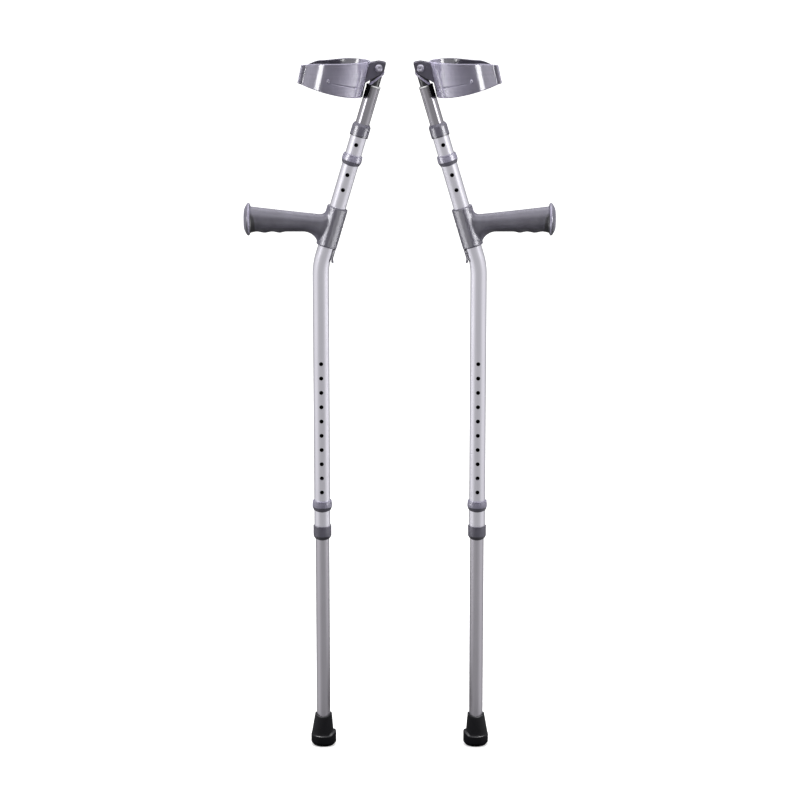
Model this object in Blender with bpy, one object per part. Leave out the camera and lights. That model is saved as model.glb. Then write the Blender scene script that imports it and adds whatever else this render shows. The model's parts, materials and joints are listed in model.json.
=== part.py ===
"""A pair of forearm crutches, stood side by side with their handles facing outwards.

Each crutch is an aluminium tube, bent once below the handle. A leg tube slides in its lower end and
a forearm tube in its upper end, and a spring clip with a moulded pin locks each of them in one of a
row of holes. A plastic handle is moulded round a core and sleeved over the bend's upper side. At the
top an open cuff swivels on a rivet, and at the bottom a rubber ferrule grips the floor. The right
crutch is the left one's mirror image.

Metres, +Z up, +Y away from the viewer. The origin is on the floor, midway between the two crutches.
Heights build up from the floor: the leg tube stands in the ferrule, its pin carries the bent tube,
and the bent tube carries the forearm tube.
"""

import math

import bmesh
import bpy
from mathutils import Matrix, Vector

# The pair
POLE_SPACING = 0.2135        # between the axes of the two upright tubes

# Fits
GAP = 0.0003                 # between faces that touch on the real crutch
SLIDE_GAP = 0.0004           # round a tube that telescopes in another

# Bent outer tube
OUTER_D = 0.0222
TUBE_WALL = 0.0012
LEAN = math.radians(16.6)    # how far the upper part leans back from upright
BEND_RADIUS = 0.090          # of the tube's centreline
OUTER_LOWER = 0.3795         # from the bend's corner down to the tube's lower end
OUTER_UPPER = 0.1970         # from the bend's corner up to the tube's upper end
HOLE_D = 0.0056
LEG_PITCH = 0.020
LEG_HOLES = 11
LEG_END_TO_HOLE = 0.0446     # from the tube's lower end to its lowest hole
FOREARM_PITCH = 0.021
FOREARM_HOLES = 4
FOREARM_END_TO_HOLE = 0.0264  # from the tube's upper end to its highest hole
FOREARM_SET_HOLE = 1         # holes above the one that the forearm pin sits in

# Sliding tubes
LEG_TUBE_LENGTH = 0.371
LEG_PIN_FROM_TOP = 0.035     # from the leg tube's hidden end to its pin hole
FOREARM_TUBE_LENGTH = 0.1405
FOREARM_PIN_FROM_END = 0.0375  # from the forearm tube's hidden end to its pin hole
BUSH_FLANGE = 0.003
BUSH_SPIGOT = 0.009
BUSH_BORE_D = 0.008

# Collars at the outer tube's two ends
COLLAR_D = 0.0250
COLLAR_LENGTH = 0.018
COLLAR_LIP = 0.0022          # the end wall that closes down onto the sliding tube
COLLAR_CHAMFER = 0.0030

# Spring clips
CLIP_D = 0.0272
CLIP_HEIGHT = 0.0135
CLIP_WRAP = math.radians(250)
CLIP_CHAMFER = 0.0022
PIN_D = 0.0050
PIN_PAST_WALL = 0.0010       # how far the pin stands out inside the sliding tube

# Ferrule
FERRULE_HEIGHT = 0.0459
FERRULE_BASE_D = 0.0350
FERRULE_FOOT_D = 0.0286      # of the flat that meets the floor
FERRULE_FOOT_RISE = 0.0042   # height of the chamfer above that flat
FERRULE_MOUTH_D = 0.0232
FERRULE_SHOULDER_Z = 0.0135
FERRULE_HEEL_RISE = 0.0055   # how much higher the shoulder stands at the back
FERRULE_NECK_D = 0.0312      # of the neck where it meets the shoulder
FERRULE_NECK_SHIFT = 0.0006  # of the neck, forwards of the base
FERRULE_FLOOR = 0.009        # rubber under the socket
FERRULE_TREAD_DEPTH = 0.0008
FERRULE_TREAD_WIDTH = 0.0020
FERRULE_LAND_D = 0.0100      # the plain disc in the middle of the tread
WASHER_THICKNESS = 0.0015

# Cuff swivel at the forearm tube's top
RIVET_ABOVE_RIM = 0.0243
RIVET_SHANK_D = 0.0058
RIVET_HEAD_D = 0.0108
RIVET_HEAD_HEIGHT = 0.0026
RIVET_TAIL_D = 0.0092
RIVET_TAIL_HEIGHT = 0.0014
RIVET_WASHER_D = 0.0120
RIVET_WASHER_THICKNESS = 0.0010
PLUG_DEPTH = 0.034           # of the plug's spigot inside the tube
PLUG_NECK_D = 0.0148         # of the plug where it shows above the rim
PLUG_CUT_ABOVE_RIM = 0.0095  # where the plug's slanting top crosses the tube's axis
PLUG_CUT_ANGLE = math.radians(53.5)
PLUG_FLANGE_D = 0.0180
PLUG_FLANGE_THICKNESS = 0.0018
TANG_WIDTH = 0.013
TANG_THICKNESS = 0.008

# Cuff bracket, measured from the rivet
BRACKET_WIDTH = 0.020
BRACKET_TOP = 0.0091
BRACKET_FRONT_STEP = 0.0026  # how much lower its top is beside the cuff
BRACKET_BACK_STEP = 0.0020   # and at its back corner
BRACKET_BACK = 0.0098        # behind the rivet at the top corner
BRACKET_HEEL = 0.0024        # past the point where it passes closest over the plug
BRACKET_FRONT_DROP = 0.0175  # its lowest corner below the rivet
BRACKET_FRONT_REACH = 0.0148  # and ahead of the rivet
BRACKET_CLEARANCE = 0.0006   # over the plug's slanting top

# Cuff, an open band seen from above
CUFF_LEAN = math.radians(12.5)
CUFF_WIDTH = 0.098
CUFF_WALL = 0.0030
CUFF_TOP = 0.0092            # above the rivet
CUFF_DROP = 0.0392           # below the rivet at the back
CUFF_SIDE_RADIUS = 0.0605    # of the gently curved sides
CUFF_SIDE_SWEEP = math.radians(32)
CUFF_LIP_RADIUS = 0.0065     # of the tips, which roll outwards
CUFF_LIP_SWEEP = math.radians(78)
CUFF_TIP_RISE = 0.0242       # of the lower edge from the back to the tips
CUFF_TIP_DROP = 0.0018       # of the upper edge at the tips
CUFF_EDGE_RADIUS = 0.0011
CUFF_REST_GAP = 0.00045      # between the cuff and the tube that it rests against
CUFF_SCREW_D = 0.0038
CUFF_SCREW_HEAD_D = 0.0076
CUFF_SCREW_HEAD_HEIGHT = 0.0016
CUFF_SCREW_BITE = 0.0040     # past the cuff's wall, into the bracket
CUFF_SCREW_UPPER = 0.0015    # above the rivet, at the cuff's outer face
CUFF_SCREW_LOWER = -0.0100
CUFF_PIP_D = 0.0036          # of the small moulded pip on the near side
CUFF_PIP_HEIGHT = 0.0007
CUFF_PIP_AHEAD = 0.0535      # from the cuff's back
CUFF_PIP_DROP = 0.0125       # below the rivet

# Handle
SLEEVE_START = 0.0265        # along the leaning tube, from the bend's corner
SLEEVE_LENGTH = 0.0555
SLEEVE_D = 0.0284
SLEEVE_EDGE = 0.0016
TONGUE_THICKNESS = 0.0024    # of the tongue down the tube's back, below the sleeve
TONGUE_SPREAD = math.radians(48)
TONGUE_BEND_SHARE = 0.4      # how far it follows the bend
GRIP_LENGTH = 0.1008         # from the flange to the sleeve's front
GRIP_END_HEIGHT = 0.0622     # the flange's centre above the bend's corner
GRIP_SLOPE = math.radians(2.6)
GRIP_TOP_END = 0.0175        # above the flange's centre, at the flange
GRIP_TOP_ROOT = 0.0063       # above the flange's centre, at the sleeve
GRIP_BOTTOM = 0.0158         # below the flange's centre
GRIP_HALF_WIDTH_END = 0.0145
GRIP_HALF_WIDTH_ROOT = 0.0125
GRIP_SQUARENESS = 2.35       # exponent of the section's superellipse
GRIP_TOP_FILLET = 0.011
GRIP_BOTTOM_FILLET = 0.020
FINGER_PITCH = 0.0183
FINGER_DEPTH = 0.0020
FINGER_FIRST = 0.0025        # from the flange to the first bump
FINGER_SPAN = 0.049          # the grooves fade out past this length
FLANGE_D = 0.0449
FLANGE_RIM = 0.0036
FLANGE_DOME = 0.0042
CORE_D = 0.016
CORE_WALL = 0.0015
CORE_END_WALL = 0.0030       # plastic between the core and the bent tube
END_PLUG_HEAD = 0.0030
END_PLUG_SPIGOT = 0.008
HANDLE_SCREW_UP = 0.0320     # from the sleeve's lower end
HANDLE_SCREW_D = 0.0036
HANDLE_SCREW_HEAD_D = 0.0070
HANDLE_SCREW_HEAD_HEIGHT = 0.0015
HANDLE_SCREW_RECESS_D = 0.0092
HANDLE_SCREW_SEAT = 0.0011   # plastic left under the screw's head
HANDLE_SCREW_PAST_WALL = 0.0012

# Mesh fineness
ROUND = 24                   # sides of the tubes and what fits on them
SMALL_ROUND = 12             # sides of pins and screws
HOLE_ROUND = 10
CORE_ROUND = 16
RELIEF_ROUND = 96            # of the cylinder that shapes the bracket to the cuff
CLIP_STEPS = 16
GRIP_SIDES = 20
BEND_STEPS = 5
OVERCUT = 0.0010             # how far a cutter runs past what it cuts

# Radii that follow from the sizes above
OUTER_R = OUTER_D / 2
OUTER_BORE_R = OUTER_R - TUBE_WALL
INNER_R = OUTER_BORE_R - SLIDE_GAP
INNER_BORE_R = INNER_R - TUBE_WALL
OVER_OUTER_R = OUTER_R + GAP
OVER_INNER_R = INNER_R + GAP
SLEEVE_R = SLEEVE_D / 2
CUFF_R = CUFF_WIDTH / 2

# Heights that follow from the sizes above
LEG_TUBE_Z = FERRULE_FLOOR + GAP + WASHER_THICKNESS + GAP
LEG_PIN_Z = LEG_TUBE_Z + LEG_TUBE_LENGTH - LEG_PIN_FROM_TOP
OUTER_BOTTOM_Z = LEG_PIN_Z - LEG_END_TO_HOLE
BEND_Z = OUTER_BOTTOM_Z + OUTER_LOWER

# Distances along the leaning tube, from the bend's corner
FOREARM_PIN = OUTER_UPPER - FOREARM_END_TO_HOLE - FOREARM_SET_HOLE * FOREARM_PITCH
FOREARM_LOW_END = FOREARM_PIN - FOREARM_PIN_FROM_END
FOREARM_RIM = FOREARM_LOW_END + FOREARM_TUBE_LENGTH
RIVET = FOREARM_RIM + RIVET_ABOVE_RIM
PLUG_CUT = FOREARM_RIM + PLUG_CUT_ABOVE_RIM

# Flange centre of the grip, in the crutch's frame
GRIP_END_Z = BEND_Z + GRIP_END_HEIGHT


def clear_scene():
    for obj in list(bpy.data.objects):
        bpy.data.objects.remove(obj, do_unlink=True)


def make_material(name, color, roughness, metallic=0.0):
    material = bpy.data.materials.new(name)
    material.use_nodes = True
    shader = material.node_tree.nodes["Principled BSDF"]
    shader.inputs["Base Color"].default_value = (*color, 1.0)
    shader.inputs["Roughness"].default_value = roughness
    shader.inputs["Metallic"].default_value = metallic
    return material


def make_empty(name, parent=None, location=(0, 0, 0), turn_y=0.0, scale_x=1.0):
    empty = bpy.data.objects.new(name, None)
    empty.empty_display_size = 0.03
    empty.parent = parent
    empty.location = location
    empty.rotation_euler = (0, turn_y, 0)
    empty.scale = (scale_x, 1, 1)
    bpy.context.scene.collection.objects.link(empty)
    return empty


def make_object(name, bm, parent, material=None, place=None):
    """Turn a bmesh into an object. Without a material it is a helper that only cuts or joins."""
    if place is not None:
        bm.transform(place)
    bmesh.ops.remove_doubles(bm, verts=bm.verts, dist=1e-6)
    bmesh.ops.recalc_face_normals(bm, faces=bm.faces)
    mesh = bpy.data.meshes.new(name)
    bm.to_mesh(mesh)
    bm.free()
    mesh.shade_smooth()
    mesh.set_sharp_from_angle(angle=math.radians(35))
    obj = bpy.data.objects.new(name, mesh)
    obj.parent = parent
    bpy.context.scene.collection.objects.link(obj)
    if material is None:
        obj.hide_render = True
        obj.display_type = "WIRE"
    else:
        mesh.materials.append(material)
    return obj


def combine(obj, helper, operation):
    """Keep a live Boolean on obj: DIFFERENCE cuts the helper out, UNION joins it on."""
    modifier = obj.modifiers.new(helper.name, "BOOLEAN")
    modifier.operation = operation
    modifier.object = helper


def lathe(profile, steps=ROUND, sweep=math.tau):
    """Turn a closed profile of (radius, height) points about Z. A part turn gets end caps."""
    bm = bmesh.new()
    verts = [bm.verts.new((radius, 0, height)) for radius, height in profile]
    edges = [bm.edges.new((verts[i - 1], verts[i])) for i in range(len(verts))]
    full = abs(sweep - math.tau) < 1e-9
    if not full:
        start = bm.faces.new(verts)
        end = bmesh.ops.duplicate(bm, geom=[start])["geom"]
        end_verts = [item for item in end if isinstance(item, bmesh.types.BMVert)]
        bmesh.ops.rotate(bm, verts=end_verts, cent=(0, 0, 0), matrix=Matrix.Rotation(sweep, 3, "Z"))
    bmesh.ops.spin(bm, geom=verts + edges, cent=(0, 0, 0), axis=(0, 0, 1), angle=sweep, steps=steps,
                   use_merge=full)
    bmesh.ops.remove_doubles(bm, verts=bm.verts, dist=1e-6)
    bmesh.ops.dissolve_degenerate(bm, edges=bm.edges, dist=1e-7)
    return bm


def loft(rings, closed_ends=True):
    """Skin a list of rings that have as many points each, and cap the first and the last."""
    bm = bmesh.new()
    loops = [[bm.verts.new(point) for point in ring] for ring in rings]
    count = len(loops[0])
    for lower, upper in zip(loops, loops[1:]):
        for i in range(count):
            j = (i + 1) % count
            bm.faces.new((lower[i], lower[j], upper[j], upper[i]))
    if closed_ends:
        bm.faces.new(loops[0])
        bm.faces.new(loops[-1])
    return bm


def prism(outline, half_width):
    """Extrude an outline of (x, z) points to both sides along Y."""
    return loft([[(x, y, z) for x, z in outline] for y in (-half_width, half_width)])


def rod_along(start, end, radius, steps=SMALL_ROUND):
    """A plain round bar between two points, for pins and for drilling."""
    start, end = Vector(start), Vector(end)
    bm = bmesh.new()
    turn = (end - start).to_track_quat("Z", "Y").to_matrix().to_4x4()
    place = Matrix.Translation((start + end) / 2) @ turn
    bmesh.ops.create_cone(bm, cap_ends=True, segments=steps, radius1=radius, radius2=radius,
                          depth=(end - start).length, matrix=place)
    return bm


def merge(parts):
    """Join several bmeshes that don't touch into one."""
    bm = bmesh.new()
    for part in parts:
        mesh = bpy.data.meshes.new("part")
        part.to_mesh(mesh)
        part.free()
        bm.from_mesh(mesh)
        bpy.data.meshes.remove(mesh)
    return bm


def slice_off(bm, point, normal):
    """Remove what lies on the normal's side of a plane, and close the cut."""
    geometry = bm.verts[:] + bm.edges[:] + bm.faces[:]
    bmesh.ops.bisect_plane(bm, geom=geometry, plane_co=point, plane_no=normal, clear_outer=True)
    rim = [edge for edge in bm.edges if edge.is_boundary]
    bmesh.ops.holes_fill(bm, edges=rim, sides=0)


def smooth_step(value, low, high):
    t = min(max((value - low) / (high - low), 0.0), 1.0)
    return t * t * (3 - 2 * t)


def bent_stations(lower_extra=0.0, upper_extra=0.0):
    """Centre points and leans along the bent tube, from its lower end to its upper end."""
    tangent = BEND_RADIUS * math.tan(LEAN / 2)
    stations = [((0.0, OUTER_BOTTOM_Z - lower_extra), 0.0)]
    for step in range(BEND_STEPS + 1):
        lean = LEAN * step / BEND_STEPS
        x = BEND_RADIUS * (1 - math.cos(lean))
        z = BEND_Z - tangent + BEND_RADIUS * math.sin(lean)
        stations.append(((x, z), lean))
    length = OUTER_UPPER + upper_extra
    stations.append(((length * math.sin(LEAN), BEND_Z + length * math.cos(LEAN)), LEAN))
    return stations


def bent_ring(station, radius):
    (x, z), lean = station
    ring = []
    for i in range(ROUND):
        angle = math.tau * i / ROUND
        across = radius * math.cos(angle)
        ring.append((x + across * math.cos(lean), radius * math.sin(angle), z - across * math.sin(lean)))
    return ring


def back_tongue(upper):
    """A strip along the tube's back, from part-way down the bend up to a distance above its corner."""
    stations = bent_stations()[1 + round(BEND_STEPS * (1 - TONGUE_BEND_SHARE)):-1]
    stations.append(((upper * math.sin(LEAN), BEND_Z + upper * math.cos(LEAN)), LEAN))
    rings = []
    for (x, z), lean in stations:
        ring = []
        outside = [(OVER_OUTER_R + TONGUE_THICKNESS, turn) for turn in (-2, -1, 0, 1, 2)]
        inside = [(OUTER_BORE_R, turn) for turn in (1, 0, -1)]
        for radius, turn in outside + inside:
            angle = TONGUE_SPREAD / 4 * turn
            across = radius * math.cos(angle)
            side = radius * math.sin(angle)
            ring.append((x + across * math.cos(lean), side, z - across * math.sin(lean)))
        rings.append(ring)
    return loft(rings)


def bent_bar(radius, lower_extra=0.0, upper_extra=0.0):
    return loft([bent_ring(station, radius) for station in bent_stations(lower_extra, upper_extra)])


def pin_drill(height, radius, outer_radius, inner_radius):
    """A cutter through the near wall of a tube on the Z axis."""
    return rod_along((0, -outer_radius - OVERCUT, height), (0, -inner_radius + OVERCUT, height), radius,
                     HOLE_ROUND)


def outer_tube(prefix, crutch, leaning, metal):
    """The bent tube, with its two rows of pin holes in the near wall and the handle screw's hole."""
    tube = make_object(prefix + "outer_tube", bent_bar(OUTER_R), crutch, metal)
    bore = make_object(prefix + "outer_bore", bent_bar(OUTER_BORE_R, OVERCUT, OVERCUT), crutch)
    leg_drills = [pin_drill(LEG_PIN_Z + i * LEG_PITCH, HOLE_D / 2, OUTER_R, OUTER_BORE_R)
                  for i in range(LEG_HOLES)]
    top_hole = OUTER_UPPER - FOREARM_END_TO_HOLE
    arm_drills = [pin_drill(top_hole - i * FOREARM_PITCH, HOLE_D / 2, OUTER_R, OUTER_BORE_R)
                  for i in range(FOREARM_HOLES)]
    screw_height = SLEEVE_START + HANDLE_SCREW_UP
    arm_drills.append(rod_along((OUTER_BORE_R - OVERCUT, 0, screw_height),
                                (OUTER_R + OVERCUT, 0, screw_height), HANDLE_SCREW_D / 2 + GAP))
    combine(tube, bore, "DIFFERENCE")
    combine(tube, make_object(prefix + "leg_holes", merge(leg_drills), crutch), "DIFFERENCE")
    combine(tube, make_object(prefix + "arm_holes", merge(arm_drills), leaning), "DIFFERENCE")


def sliding_tube(name, frame, low, length, pin_height, metal):
    """A straight tube on the frame's Z axis, with one pin hole in its near wall."""
    high = low + length
    profile = [(INNER_BORE_R, low), (INNER_R, low), (INNER_R, high), (INNER_BORE_R, high)]
    tube = make_object(name, lathe(profile), frame, metal)
    drill = pin_drill(pin_height, HOLE_D / 2, INNER_R, INNER_BORE_R)
    combine(tube, make_object(name + "_hole", drill, frame), "DIFFERENCE")


def guide_bush(name, frame, tube_end, outwards, plastic):
    """The plug in a sliding tube's hidden end. Its flange runs in the outer tube's bore."""
    spigot_r = INNER_BORE_R - GAP
    flange_r = OUTER_BORE_R - GAP
    near, far = GAP, GAP + BUSH_FLANGE
    profile = [(BUSH_BORE_D / 2, -BUSH_SPIGOT), (spigot_r, -BUSH_SPIGOT), (spigot_r, near),
               (flange_r, near), (flange_r, far), (BUSH_BORE_D / 2, far)]
    profile = [(radius, tube_end + outwards * height) for radius, height in profile]
    make_object(name, lathe(profile), frame, plastic)


def end_collar(name, frame, tube_end, outwards, plastic):
    """The cap over an outer tube's end, whose lip steadies the sliding tube."""
    outer_r = COLLAR_D / 2
    mouth = GAP + COLLAR_LIP
    back = mouth - COLLAR_LENGTH
    edge = (outer_r - OVER_OUTER_R) * 0.6
    profile = [(OVER_OUTER_R, back), (outer_r - edge, back), (outer_r, back + edge),
               (outer_r, mouth - COLLAR_CHAMFER), (outer_r - COLLAR_CHAMFER * 0.6, mouth),
               (OVER_INNER_R, mouth), (OVER_INNER_R, GAP), (OVER_OUTER_R, GAP)]
    profile = [(radius, tube_end + outwards * height) for radius, height in profile]
    make_object(name, lathe(profile), frame, plastic)


def spring_clip(name, frame, pin_height, plastic):
    """An open ring snapped round the outer tube, with a pin through both tubes' walls."""
    outer_r = CLIP_D / 2
    half = CLIP_HEIGHT / 2
    edge = (outer_r - OVER_OUTER_R) * 0.4
    taper = (outer_r - OVER_OUTER_R) * 0.6
    profile = [(OVER_OUTER_R, -half), (outer_r - taper, -half), (outer_r, -half + CLIP_CHAMFER),
               (outer_r, half - edge), (outer_r - edge, half), (OVER_OUTER_R, half)]
    ring = lathe(profile, steps=CLIP_STEPS, sweep=CLIP_WRAP)
    start = -math.pi / 2 - CLIP_WRAP / 2
    place = Matrix.Translation((0, 0, pin_height)) @ Matrix.Rotation(start, 4, "Z")
    clip = make_object(name, ring, frame, plastic, place)
    root = (OVER_OUTER_R + outer_r) / 2
    pin = rod_along((0, -root, pin_height), (0, -INNER_BORE_R + PIN_PAST_WALL, pin_height), PIN_D / 2)
    combine(clip, make_object(name + "_pin", pin, frame), "UNION")


def ferrule(name, crutch, rubber):
    """The rubber foot: ringed tread, chamfer, base with a higher heel, leaning neck and socket."""
    base_r = FERRULE_BASE_D / 2
    neck_r = FERRULE_NECK_D / 2
    mouth_r = FERRULE_MOUTH_D / 2
    socket_r = OVER_INNER_R
    lip = (mouth_r - socket_r) / 2
    land_r = FERRULE_LAND_D / 2
    foot_r = FERRULE_FOOT_D / 2
    groove_r = (land_r + foot_r) / 2

    def heel(angle):
        return FERRULE_HEEL_RISE * smooth_step(math.cos(angle), 0.55, 0.95)

    def flat(radius, height):
        return lambda angle: (radius, height, 0.0)

    def shoulder(radius, above):
        return lambda angle: (radius, FERRULE_SHOULDER_Z + heel(angle) + above, 0.0)

    def neck(share):
        def point(angle):
            low = FERRULE_SHOULDER_Z + heel(angle) + lip
            height = low + (FERRULE_HEIGHT - lip - low) * share
            rise = (height - FERRULE_SHOULDER_Z) / (FERRULE_HEIGHT - lip - FERRULE_SHOULDER_Z)
            return neck_r + (mouth_r - neck_r) * rise, height, FERRULE_NECK_SHIFT * (1 - rise)
        return point

    rings = []
    for inner_r in (land_r, groove_r):
        outer_r = inner_r + FERRULE_TREAD_WIDTH
        rings += [flat(inner_r, 0), flat(inner_r, FERRULE_TREAD_DEPTH),
                  flat(outer_r, FERRULE_TREAD_DEPTH), flat(outer_r, 0)]
    rings += [flat(foot_r, 0), flat(base_r, FERRULE_FOOT_RISE), shoulder(base_r, -lip),
              shoulder(base_r - lip / 2, 0), neck(0), neck(0.5), neck(1),
              flat(mouth_r - lip, FERRULE_HEIGHT), flat(socket_r, FERRULE_HEIGHT - lip / 2),
              flat(socket_r, FERRULE_FLOOR)]
    points = []
    for ring in rings:
        loop = []
        for i in range(ROUND):
            angle = math.tau * i / ROUND
            radius, height, shift = ring(angle)
            loop.append((radius * math.cos(angle) - shift, radius * math.sin(angle), height))
        points.append(loop)
    make_object(name, loft(points), crutch, rubber)


def seat_washer(name, crutch, steel):
    """The steel disc that keeps the leg tube's edge from cutting through the rubber."""
    low = FERRULE_FLOOR + GAP
    high = low + WASHER_THICKNESS
    make_object(name, lathe([(0, low), (INNER_R, low), (INNER_R, high), (0, high)]), crutch, steel)


def cuff_plug(name, leaning, plastic):
    """The plug in the forearm tube's top: spigot, slanting flange and the tang that the rivet holds."""
    spigot_r = INNER_BORE_R - GAP
    top = RIVET
    slant = Vector((-math.sin(PLUG_CUT_ANGLE), 0, math.cos(PLUG_CUT_ANGLE)))
    cut_point = Vector((0, 0, PLUG_CUT))
    bottom = FOREARM_RIM - PLUG_DEPTH
    neck = lathe([(0, bottom), (spigot_r, bottom), (spigot_r, FOREARM_RIM),
                  (PLUG_NECK_D / 2, FOREARM_RIM), (PLUG_NECK_D / 2, top), (0, top)])
    slice_off(neck, cut_point - slant * (PLUG_FLANGE_THICKNESS / 2), slant)
    plug = make_object(name, neck, leaning, plastic)

    flange_r = PLUG_FLANGE_D / 2
    low = FOREARM_RIM + GAP
    flange = lathe([(0, low), (flange_r, low), (flange_r, top), (0, top)])
    slice_off(flange, cut_point, slant)
    slice_off(flange, cut_point - slant * PLUG_FLANGE_THICKNESS, -slant)
    combine(plug, make_object(name + "_flange", flange, leaning), "UNION")

    half = TANG_WIDTH / 2
    outline = [(-half, FOREARM_RIM + GAP), (half, PLUG_CUT)]
    for i in range(SMALL_ROUND // 2 + 1):
        angle = math.pi * i / (SMALL_ROUND // 2)
        outline.append((half * math.cos(angle), RIVET + half * math.sin(angle)))
    combine(plug, make_object(name + "_tang", prism(outline, TANG_THICKNESS / 2), leaning), "UNION")
    reach = TANG_THICKNESS / 2 + OVERCUT
    drill = rod_along((0, -reach, RIVET), (0, reach, RIVET), RIVET_SHANK_D / 2 + GAP)
    combine(plug, make_object(name + "_drill", drill, leaning), "DIFFERENCE")


def pivot_rivet(prefix, pivot, steel):
    """The domed rivet through the bracket and the tang, and the washer under its rolled tail."""
    side = BRACKET_WIDTH / 2 + GAP
    tail = side + RIVET_WASHER_THICKNESS + GAP
    shank_r = RIVET_SHANK_D / 2
    head_r = RIVET_HEAD_D / 2
    profile = [(0, -side - RIVET_HEAD_HEIGHT), (head_r * 0.55, -side - RIVET_HEAD_HEIGHT * 0.86),
               (head_r * 0.86, -side - RIVET_HEAD_HEIGHT * 0.5), (head_r, -side), (shank_r, -side),
               (shank_r, tail), (RIVET_TAIL_D / 2, tail), (RIVET_TAIL_D * 0.4, tail + RIVET_TAIL_HEIGHT),
               (0, tail + RIVET_TAIL_HEIGHT * 0.6)]
    along_y = Matrix.Rotation(-math.pi / 2, 4, "X")
    make_object(prefix + "cuff_rivet", lathe(profile, CORE_ROUND), pivot, steel, along_y)
    bore_r = shank_r + GAP
    washer_r = RIVET_WASHER_D / 2
    washer = [(bore_r, side), (washer_r, side), (washer_r, side + RIVET_WASHER_THICKNESS),
              (bore_r, side + RIVET_WASHER_THICKNESS)]
    make_object(prefix + "cuff_rivet_washer", lathe(washer, CORE_ROUND), pivot, steel, along_y)


def cuff_back(height):
    """How far ahead of the rivet the cuff's outer face is at its back, at a height above the rivet."""
    tube_front = CUFF_DROP * math.tan(LEAN) + INNER_R / math.cos(LEAN)
    lowest = tube_front + CUFF_REST_GAP
    return lowest - (CUFF_DROP + height) * math.tan(CUFF_LEAN)


def cuff_point(ahead, side, height):
    """A point of the cuff: ahead of its back, to one side, and above the rivet."""
    return (-cuff_back(height) - ahead, side, height)


def cuff_path():
    """The wall's centreline seen from above, from the far tip to the near one, with its normals."""
    radius = CUFF_R - CUFF_WALL / 2
    centre = CUFF_R
    near_side = []
    for step in range(1, 9):
        angle = math.pi / 2 * step / 8
        ahead = centre - radius * math.cos(angle)
        near_side.append((ahead, radius * math.sin(angle), math.pi / 2 - angle))
    for step in range(1, 4):
        angle = CUFF_SIDE_SWEEP * step / 3
        ahead = centre + CUFF_SIDE_RADIUS * math.sin(angle)
        side = radius - CUFF_SIDE_RADIUS * (1 - math.cos(angle))
        near_side.append((ahead, side, -angle))
    ahead, side, heading = near_side[-1]
    turn_x = ahead - CUFF_LIP_RADIUS * math.sin(heading)
    turn_y = side + CUFF_LIP_RADIUS * math.cos(heading)
    for step in range(1, 5):
        angle = heading + CUFF_LIP_SWEEP * step / 4
        near_side.append((turn_x + CUFF_LIP_RADIUS * math.sin(angle),
                          turn_y - CUFF_LIP_RADIUS * math.cos(angle), angle))
    back = [(centre - radius, 0.0, math.pi / 2)]
    far = [(ahead, side, -heading + math.pi) for ahead, side, heading in reversed(near_side)]
    near = [(ahead, -side, heading) for ahead, side, heading in near_side]
    return far, back, near


def cuff_band(name, pivot, plastic):
    """The open plastic band: a rounded section swept from tip to tip, deeper at its back."""
    far, back, near = cuff_path()
    reach = near[-1][0]
    half = CUFF_WALL / 2
    soft = CUFF_EDGE_RADIUS
    rings = []
    for ahead, side, heading in far + back + near:
        share = ahead / reach
        low = -CUFF_DROP + CUFF_TIP_RISE * (0.38 * share + 0.62 * share * share)
        high = CUFF_TOP - CUFF_TIP_DROP * smooth_step(share, 0.75, 1.0)
        if side > 0:
            normal = (math.sin(heading), -math.cos(heading))
        else:
            normal = (-math.sin(heading), -math.cos(heading))
        section = [(-half, low + soft), (-half + soft, low), (half - soft, low), (half, low + soft),
                   (half, high - soft), (half - soft, high), (-half + soft, high), (-half, high - soft)]
        rings.append([cuff_point(ahead + normal[0] * out, side + normal[1] * out, height)
                      for out, height in section])
    return make_object(name, loft(rings), pivot, plastic)


def cuff_screw_place(height):
    """The frame of a cuff screw: its Z axis runs back through the wall, from the wall's outer face."""
    turn = Matrix.Rotation(math.pi / 2 + CUFF_LEAN, 4, "Y")
    return Matrix.Translation(cuff_point(0, 0, height)) @ turn


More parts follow.
